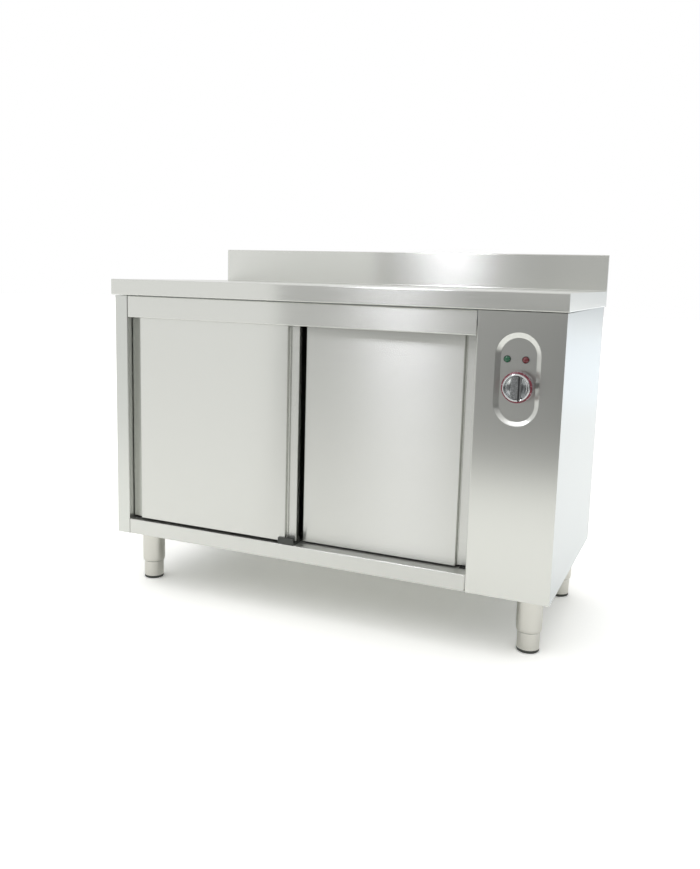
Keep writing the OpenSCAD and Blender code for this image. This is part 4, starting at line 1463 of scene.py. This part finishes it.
@dataclass
class Controls:
    """Knob, scale ring, lamps and the thermostat behind them."""

    lamps: tuple[Lamp, ...] = (
        Lamp("green_lamp", 470 * MM, GREEN_LENS),
        Lamp("red_lamp", 511 * MM, RED_LENS),
    )
    edge: float = 0.2 * MM

    def build(self) -> None:
        """Builds the controls."""
        Knob().build()
        ScaleRing().build()
        for lamp in self.lamps:
            lamp.build()
        for node, finish in (
            ("thermostat_shaft", SCREW_STEEL),
            ("thermostat_body", PALE_PLASTIC),
            ("thermostat_bulb", COPPER),
        ):
            SheetPart(node, finish, edge=self.edge).build()


@dataclass
class FanHeater:
    """Fan, heater ring and wiring parts behind the partition."""

    edge: float = 0.2 * MM

    def build(self) -> None:
        """Builds the fan heater's pieces."""
        for node, finish in (
            ("fan_housing", ZINC),
            ("fan_motor", MOTOR_PAINT),
            ("fan_wheel", FAN_ALUMINIUM),
            ("heater_element", HEATER_SCALE),
            ("safety_thermostat", BLACK_NYLON),
            ("terminal_block", PALE_PLASTIC),
            ("cable_gland", BLACK_NYLON),
            ("leg_bolts", SCREW_STEEL),
        ):
            SheetPart(node, finish, edge=self.edge).build()


# ---- Studio --------------------------------------------------------------------------------


def stage_piece(
    name: str, bm: bmesh.types.BMesh, material: bpy.types.Material
) -> bpy.types.Object:
    """Makes a part of the studio, which isn't part of the cabinet.

    Args:
        name: Its name.
        bm: Its shape, which is freed.
        material: Its material.

    Returns:
        The new object.
    """
    mesh = bpy.data.meshes.new(name)
    bm.to_mesh(mesh)
    bm.free()
    mesh.materials.append(material)
    made = bpy.data.objects.new(name, mesh)
    bpy.context.scene.collection.objects.link(made)
    return made


@dataclass(frozen=True)
class Card:
    """An upright card of the studio, which only shows in reflections."""

    name: str
    start: tuple[float, float]
    end: tuple[float, float]
    low: float
    high: float
    stops: tuple[tuple[float, float], ...]
    most_twice_mirrored: float = 1.0
    tint: str = "#FFFFFF"

    def build(self) -> None:
        """Stands the card up."""
        bm = bmesh.new()
        foot = [bm.verts.new((*p, self.low)) for p in (self.start, self.end)]
        line = bm.edges.new(foot)
        raised = bmesh.ops.extrude_edge_only(bm, edges=[line])["geom"]
        bmesh.ops.translate(
            bm, verts=[g for g in raised if isinstance(g, bmesh.types.BMVert)],
            vec=(0, 0, self.high - self.low),
        )
        card = stage_piece(self.name, bm, self.paper())
        card.visible_camera = False
        card.visible_diffuse = False
        card.visible_shadow = False
        card.visible_transmission = False

    def paper(self) -> bpy.types.Material:
        """Makes the card's paper, whose level changes along it.

        Returns:
            The new material.
        """
        material = bpy.data.materials.new(f"{self.name}_paper")
        tree = cleared_tree(material)
        run = max((0, 1), key=lambda k: abs(self.end[k] - self.start[k]))
        place = add_node(tree, "ShaderNodeTexCoord")
        split = add_node(tree, "ShaderNodeSeparateXYZ", {0: place.outputs["Object"]})
        along = add_node(tree, "ShaderNodeMapRange", {
            "Value": split.outputs[run],
            "From Min": self.start[run], "From Max": self.end[run],
        })
        ramp = add_node(tree, "ShaderNodeValToRGB", {"Fac": along.outputs[0]})
        ramp.color_ramp.interpolation = "EASE"
        span = self.end[run] - self.start[run]
        brightest = max(level for _, level in self.stops)
        tint = Vector(linear(self.tint)[:3])
        for number, (place_at, level) in enumerate(self.stops):
            position = (place_at - self.start[run]) / span
            if number < 2:
                element = ramp.color_ramp.elements[number]
                element.position = position
            else:
                element = ramp.color_ramp.elements.new(position)
            element.color = (*(tint * (level / brightest)), 1.0)
        path = add_node(tree, "ShaderNodeLightPath")
        strength = add_node(tree, "ShaderNodeMapRange", {
            "Value": path.outputs["Glossy Depth"],
            "From Min": 1.0, "From Max": 2.0,
            "To Min": brightest, "To Max": min(brightest, self.most_twice_mirrored),
        })
        glow = add_node(tree, "ShaderNodeEmission", {
            "Color": ramp.outputs[0], "Strength": strength.outputs[0],
        })
        add_node(tree, "ShaderNodeOutputMaterial", {"Surface": glow.outputs[0]})
        return material


@dataclass
class Studio:
    """Pale floor, soft light, cards for the steel to mirror, and the camera."""

    floor_half: float = 20.0
    floor_colour: str = "#F4F4F2"
    ambient: float = 0.72
    lamp_share: float = 0.30
    lamp_angle: float = 100.0
    lamp_lean: tuple[float, float] = (8.0, -10.0)
    camera_place: tuple[float, float, float] = (0.90084, -2.15162, 0.86751)
    camera_yaw: float = 0.415808
    camera_pitch: float = 0.150243
    camera_roll: float = 0.026278
    focal_length: float = 35.455
    sensor: float = 36.0
    shift: tuple[float, float] = (0.00838, -0.03377)
    floor_gain_seen: float = 1.52
    floor_gain_near: float = 1.38
    floor_gain_far: float = 0.3
    floor_near_y: float = -1.85
    floor_far_y: float = -2.45
    floor_gain_back: float = -0.4
    floor_gain_beside: float = 0.5
    floor_back_y: float = 0.3
    floor_beside_x: float = 0.62
    cards: tuple[Card, ...] = (
        Card("white_wall", (-3.0, -1.81), (-0.925, -1.81), 0.0, 2.4, (
            (-3.0, 1.06), (-0.925, 1.03),
        )),
        Card("strip_lamp", (-1.3, -2.7), (-0.54, -2.7), 2.2, 3.2, (
            (-1.3, 0.0), (-1.16, 9.0), (-1.05, 19.0), (-0.92, 30.0), (-0.78, 29.0),
            (-0.67, 14.0), (-0.54, 0.0),
        ), tint="#F7F6FF"),
        Card("room_wall", (-1.6, -2.75), (4.0, -2.75), 0.0, 0.85, (
            (-1.6, 0.6), (-1.0, 0.55), (-0.5, 0.48), (-0.3, 0.4), (0.1, 0.34),
            (0.6, 0.2), (4.0, 0.18),
        )),
        Card("upper_wall", (-1.6, -2.75), (4.0, -2.75), 0.85, 1.6, (
            (-1.6, 0.6), (-1.0, 0.55), (-0.5, 0.5), (-0.2, 0.5), (0.1, 0.65),
            (0.6, 0.7), (4.0, 0.6),
        )),
        Card("room_side", (3.2, -2.7), (3.2, 0.0), 0.0, 2.2, ((-2.7, 0.12), (0.0, 0.3))),
        Card(
            "bright_back", (0.65, 4.0), (6.0, 4.0), 0.0, 0.5, ((0.65, 1.6), (6.0, 1.6)), 1.6,
            tint="#F6FBFF",
        ),
        Card(
            "cool_back", (0.65, 4.0), (6.0, 4.0), 0.62, 1.05, ((0.65, 0.8), (6.0, 0.8)),
            tint="#F8FCFF",
        ),
    )

    def build(self) -> None:
        """Builds the studio."""
        self.build_world()
        self.build_floor()
        self.build_lamp()
        for card in self.cards:
            card.build()
        self.build_camera()

    def build_world(self) -> None:
        """White for what the eye and the steel see, and soft light for the rest."""
        world = bpy.data.worlds.new("studio")
        bpy.context.scene.world = world
        tree = cleared_tree(world)
        path = add_node(tree, "ShaderNodeLightPath")
        seen = path.outputs["Is Camera Ray"]
        for ray in ("Is Glossy Ray", "Is Transmission Ray"):
            seen = add_node(tree, "ShaderNodeMath", {
                0: seen, 1: path.outputs[ray],
            }, operation="MAXIMUM").outputs[0]
        strength = add_node(tree, "ShaderNodeMapRange", {
            "Value": seen, "To Min": self.ambient, "To Max": 1.0,
        })
        glow = add_node(tree, "ShaderNodeBackground", {
            "Color": linear("#FFFFFF"), "Strength": strength.outputs[0],
        })
        add_node(tree, "ShaderNodeOutputWorld", {"Surface": glow.outputs[0]})

    def build_floor(self) -> None:
        """Lays the floor, which keeps the cabinet's shadow."""
        bm = bmesh.new()
        bmesh.ops.create_grid(bm, x_segments=1, y_segments=1, size=self.floor_half)
        stage_piece("studio_floor", bm, self.floor_paint())

    def floor_paint(self) -> bpy.types.Material:
        """Makes the floor's matt white, whose gain depends on what looks at it.

        The camera sees it near white. The steel sees it bright near the cabinet, and
        darker where the room's own floor begins and behind the cabinet.

        Returns:
            The new material.
        """
        material = bpy.data.materials.new("matt_white_floor")
        tree = cleared_tree(material)
        path = add_node(tree, "ShaderNodeLightPath")
        place = add_node(tree, "ShaderNodeTexCoord")
        split = add_node(tree, "ShaderNodeSeparateXYZ", {0: place.outputs["Object"]})
        gain = add_node(tree, "ShaderNodeMapRange", {
            "Value": split.outputs["Y"],
            "From Min": self.floor_far_y, "From Max": self.floor_near_y,
            "To Min": self.floor_gain_far, "To Max": self.floor_gain_near,
        })
        beside = add_node(tree, "ShaderNodeMath", {
            0: split.outputs["X"], 1: self.floor_beside_x,
        }, operation="GREATER_THAN")
        change = add_node(tree, "ShaderNodeMapRange", {
            "Value": beside.outputs[0],
            "To Min": self.floor_gain_back,
            "To Max": self.floor_gain_back + self.floor_gain_beside,
        })
        behind = add_node(tree, "ShaderNodeMath", {
            0: split.outputs["Y"], 1: self.floor_back_y,
        }, operation="GREATER_THAN")
        gain = add_node(tree, "ShaderNodeMath", {
            0: behind.outputs[0], 1: change.outputs[0], 2: gain.outputs[0],
        }, operation="MULTIPLY_ADD")
        mirrored = add_node(tree, "ShaderNodeMapRange", {
            "Value": path.outputs["Is Glossy Ray"],
            "To Min": 1.0, "To Max": gain.outputs[0],
        })
        seen = add_node(tree, "ShaderNodeMapRange", {
            "Value": path.outputs["Is Camera Ray"],
            "To Min": mirrored.outputs[0], "To Max": self.floor_gain_seen,
        })
        colour = add_node(tree, "ShaderNodeVectorMath", {
            0: linear(self.floor_colour)[:3], "Scale": seen.outputs[0],
        }, operation="SCALE")
        shader = add_node(tree, "ShaderNodeBsdfDiffuse", {"Color": colour.outputs[0]})
        add_node(tree, "ShaderNodeOutputMaterial", {"Surface": shader.outputs[0]})
        return material

    def build_lamp(self) -> None:
        """Hangs the wide lamp overhead."""
        lamp = bpy.data.lights.new("overhead_softbox", "SUN")
        lamp.energy = math.pi * self.lamp_share
        lamp.angle = math.radians(self.lamp_angle)
        held = bpy.data.objects.new("overhead_softbox", lamp)
        held.rotation_euler = [math.radians(a) for a in self.lamp_lean] + [0.0]
        held.visible_glossy = False
        bpy.context.scene.collection.objects.link(held)

    def build_camera(self) -> None:
        """Sets the camera where the photograph was taken."""
        camera = bpy.data.cameras.new("camera")
        camera.sensor_width = self.sensor
        camera.lens = self.focal_length
        camera.shift_x, camera.shift_y = self.shift
        camera.clip_end = 100.0
        held = bpy.data.objects.new("camera", camera)
        turn = (
            Matrix.Rotation(self.camera_yaw, 4, "Z")
            @ Matrix.Rotation(math.pi / 2 - self.camera_pitch, 4, "X")
            @ Matrix.Rotation(self.camera_roll, 4, "Z")
        )
        held.matrix_world = Matrix.Translation(self.camera_place) @ turn
        bpy.context.scene.collection.objects.link(held)
        bpy.context.scene.camera = held
        bpy.context.scene.view_settings.view_transform = "Standard"


def main() -> None:
    """Builds the cabinet and its studio."""
    logging.basicConfig(level=logging.INFO, format="%(message)s")
    for assembly in (
        Worktop(),
        Body(),
        RearScrews(),
        Door(Side.LEFT, (Grip(-520 * MM, -554 * MM, -271 * MM),)),
        Door(Side.RIGHT, drop=3.2 * MM),
        DoorGear(),
        *(
            Leg(f"{end}_{side}", x, y)
            for end, y in (("front", -204 * MM), ("rear", 204 * MM))
            for side, x in (("left", -538 * MM), ("right", 538 * MM))
        ),
        Controls(),
        FanHeater(),
        Studio(),
    ):
        assembly.build()


if __name__ == "__main__":
    main()
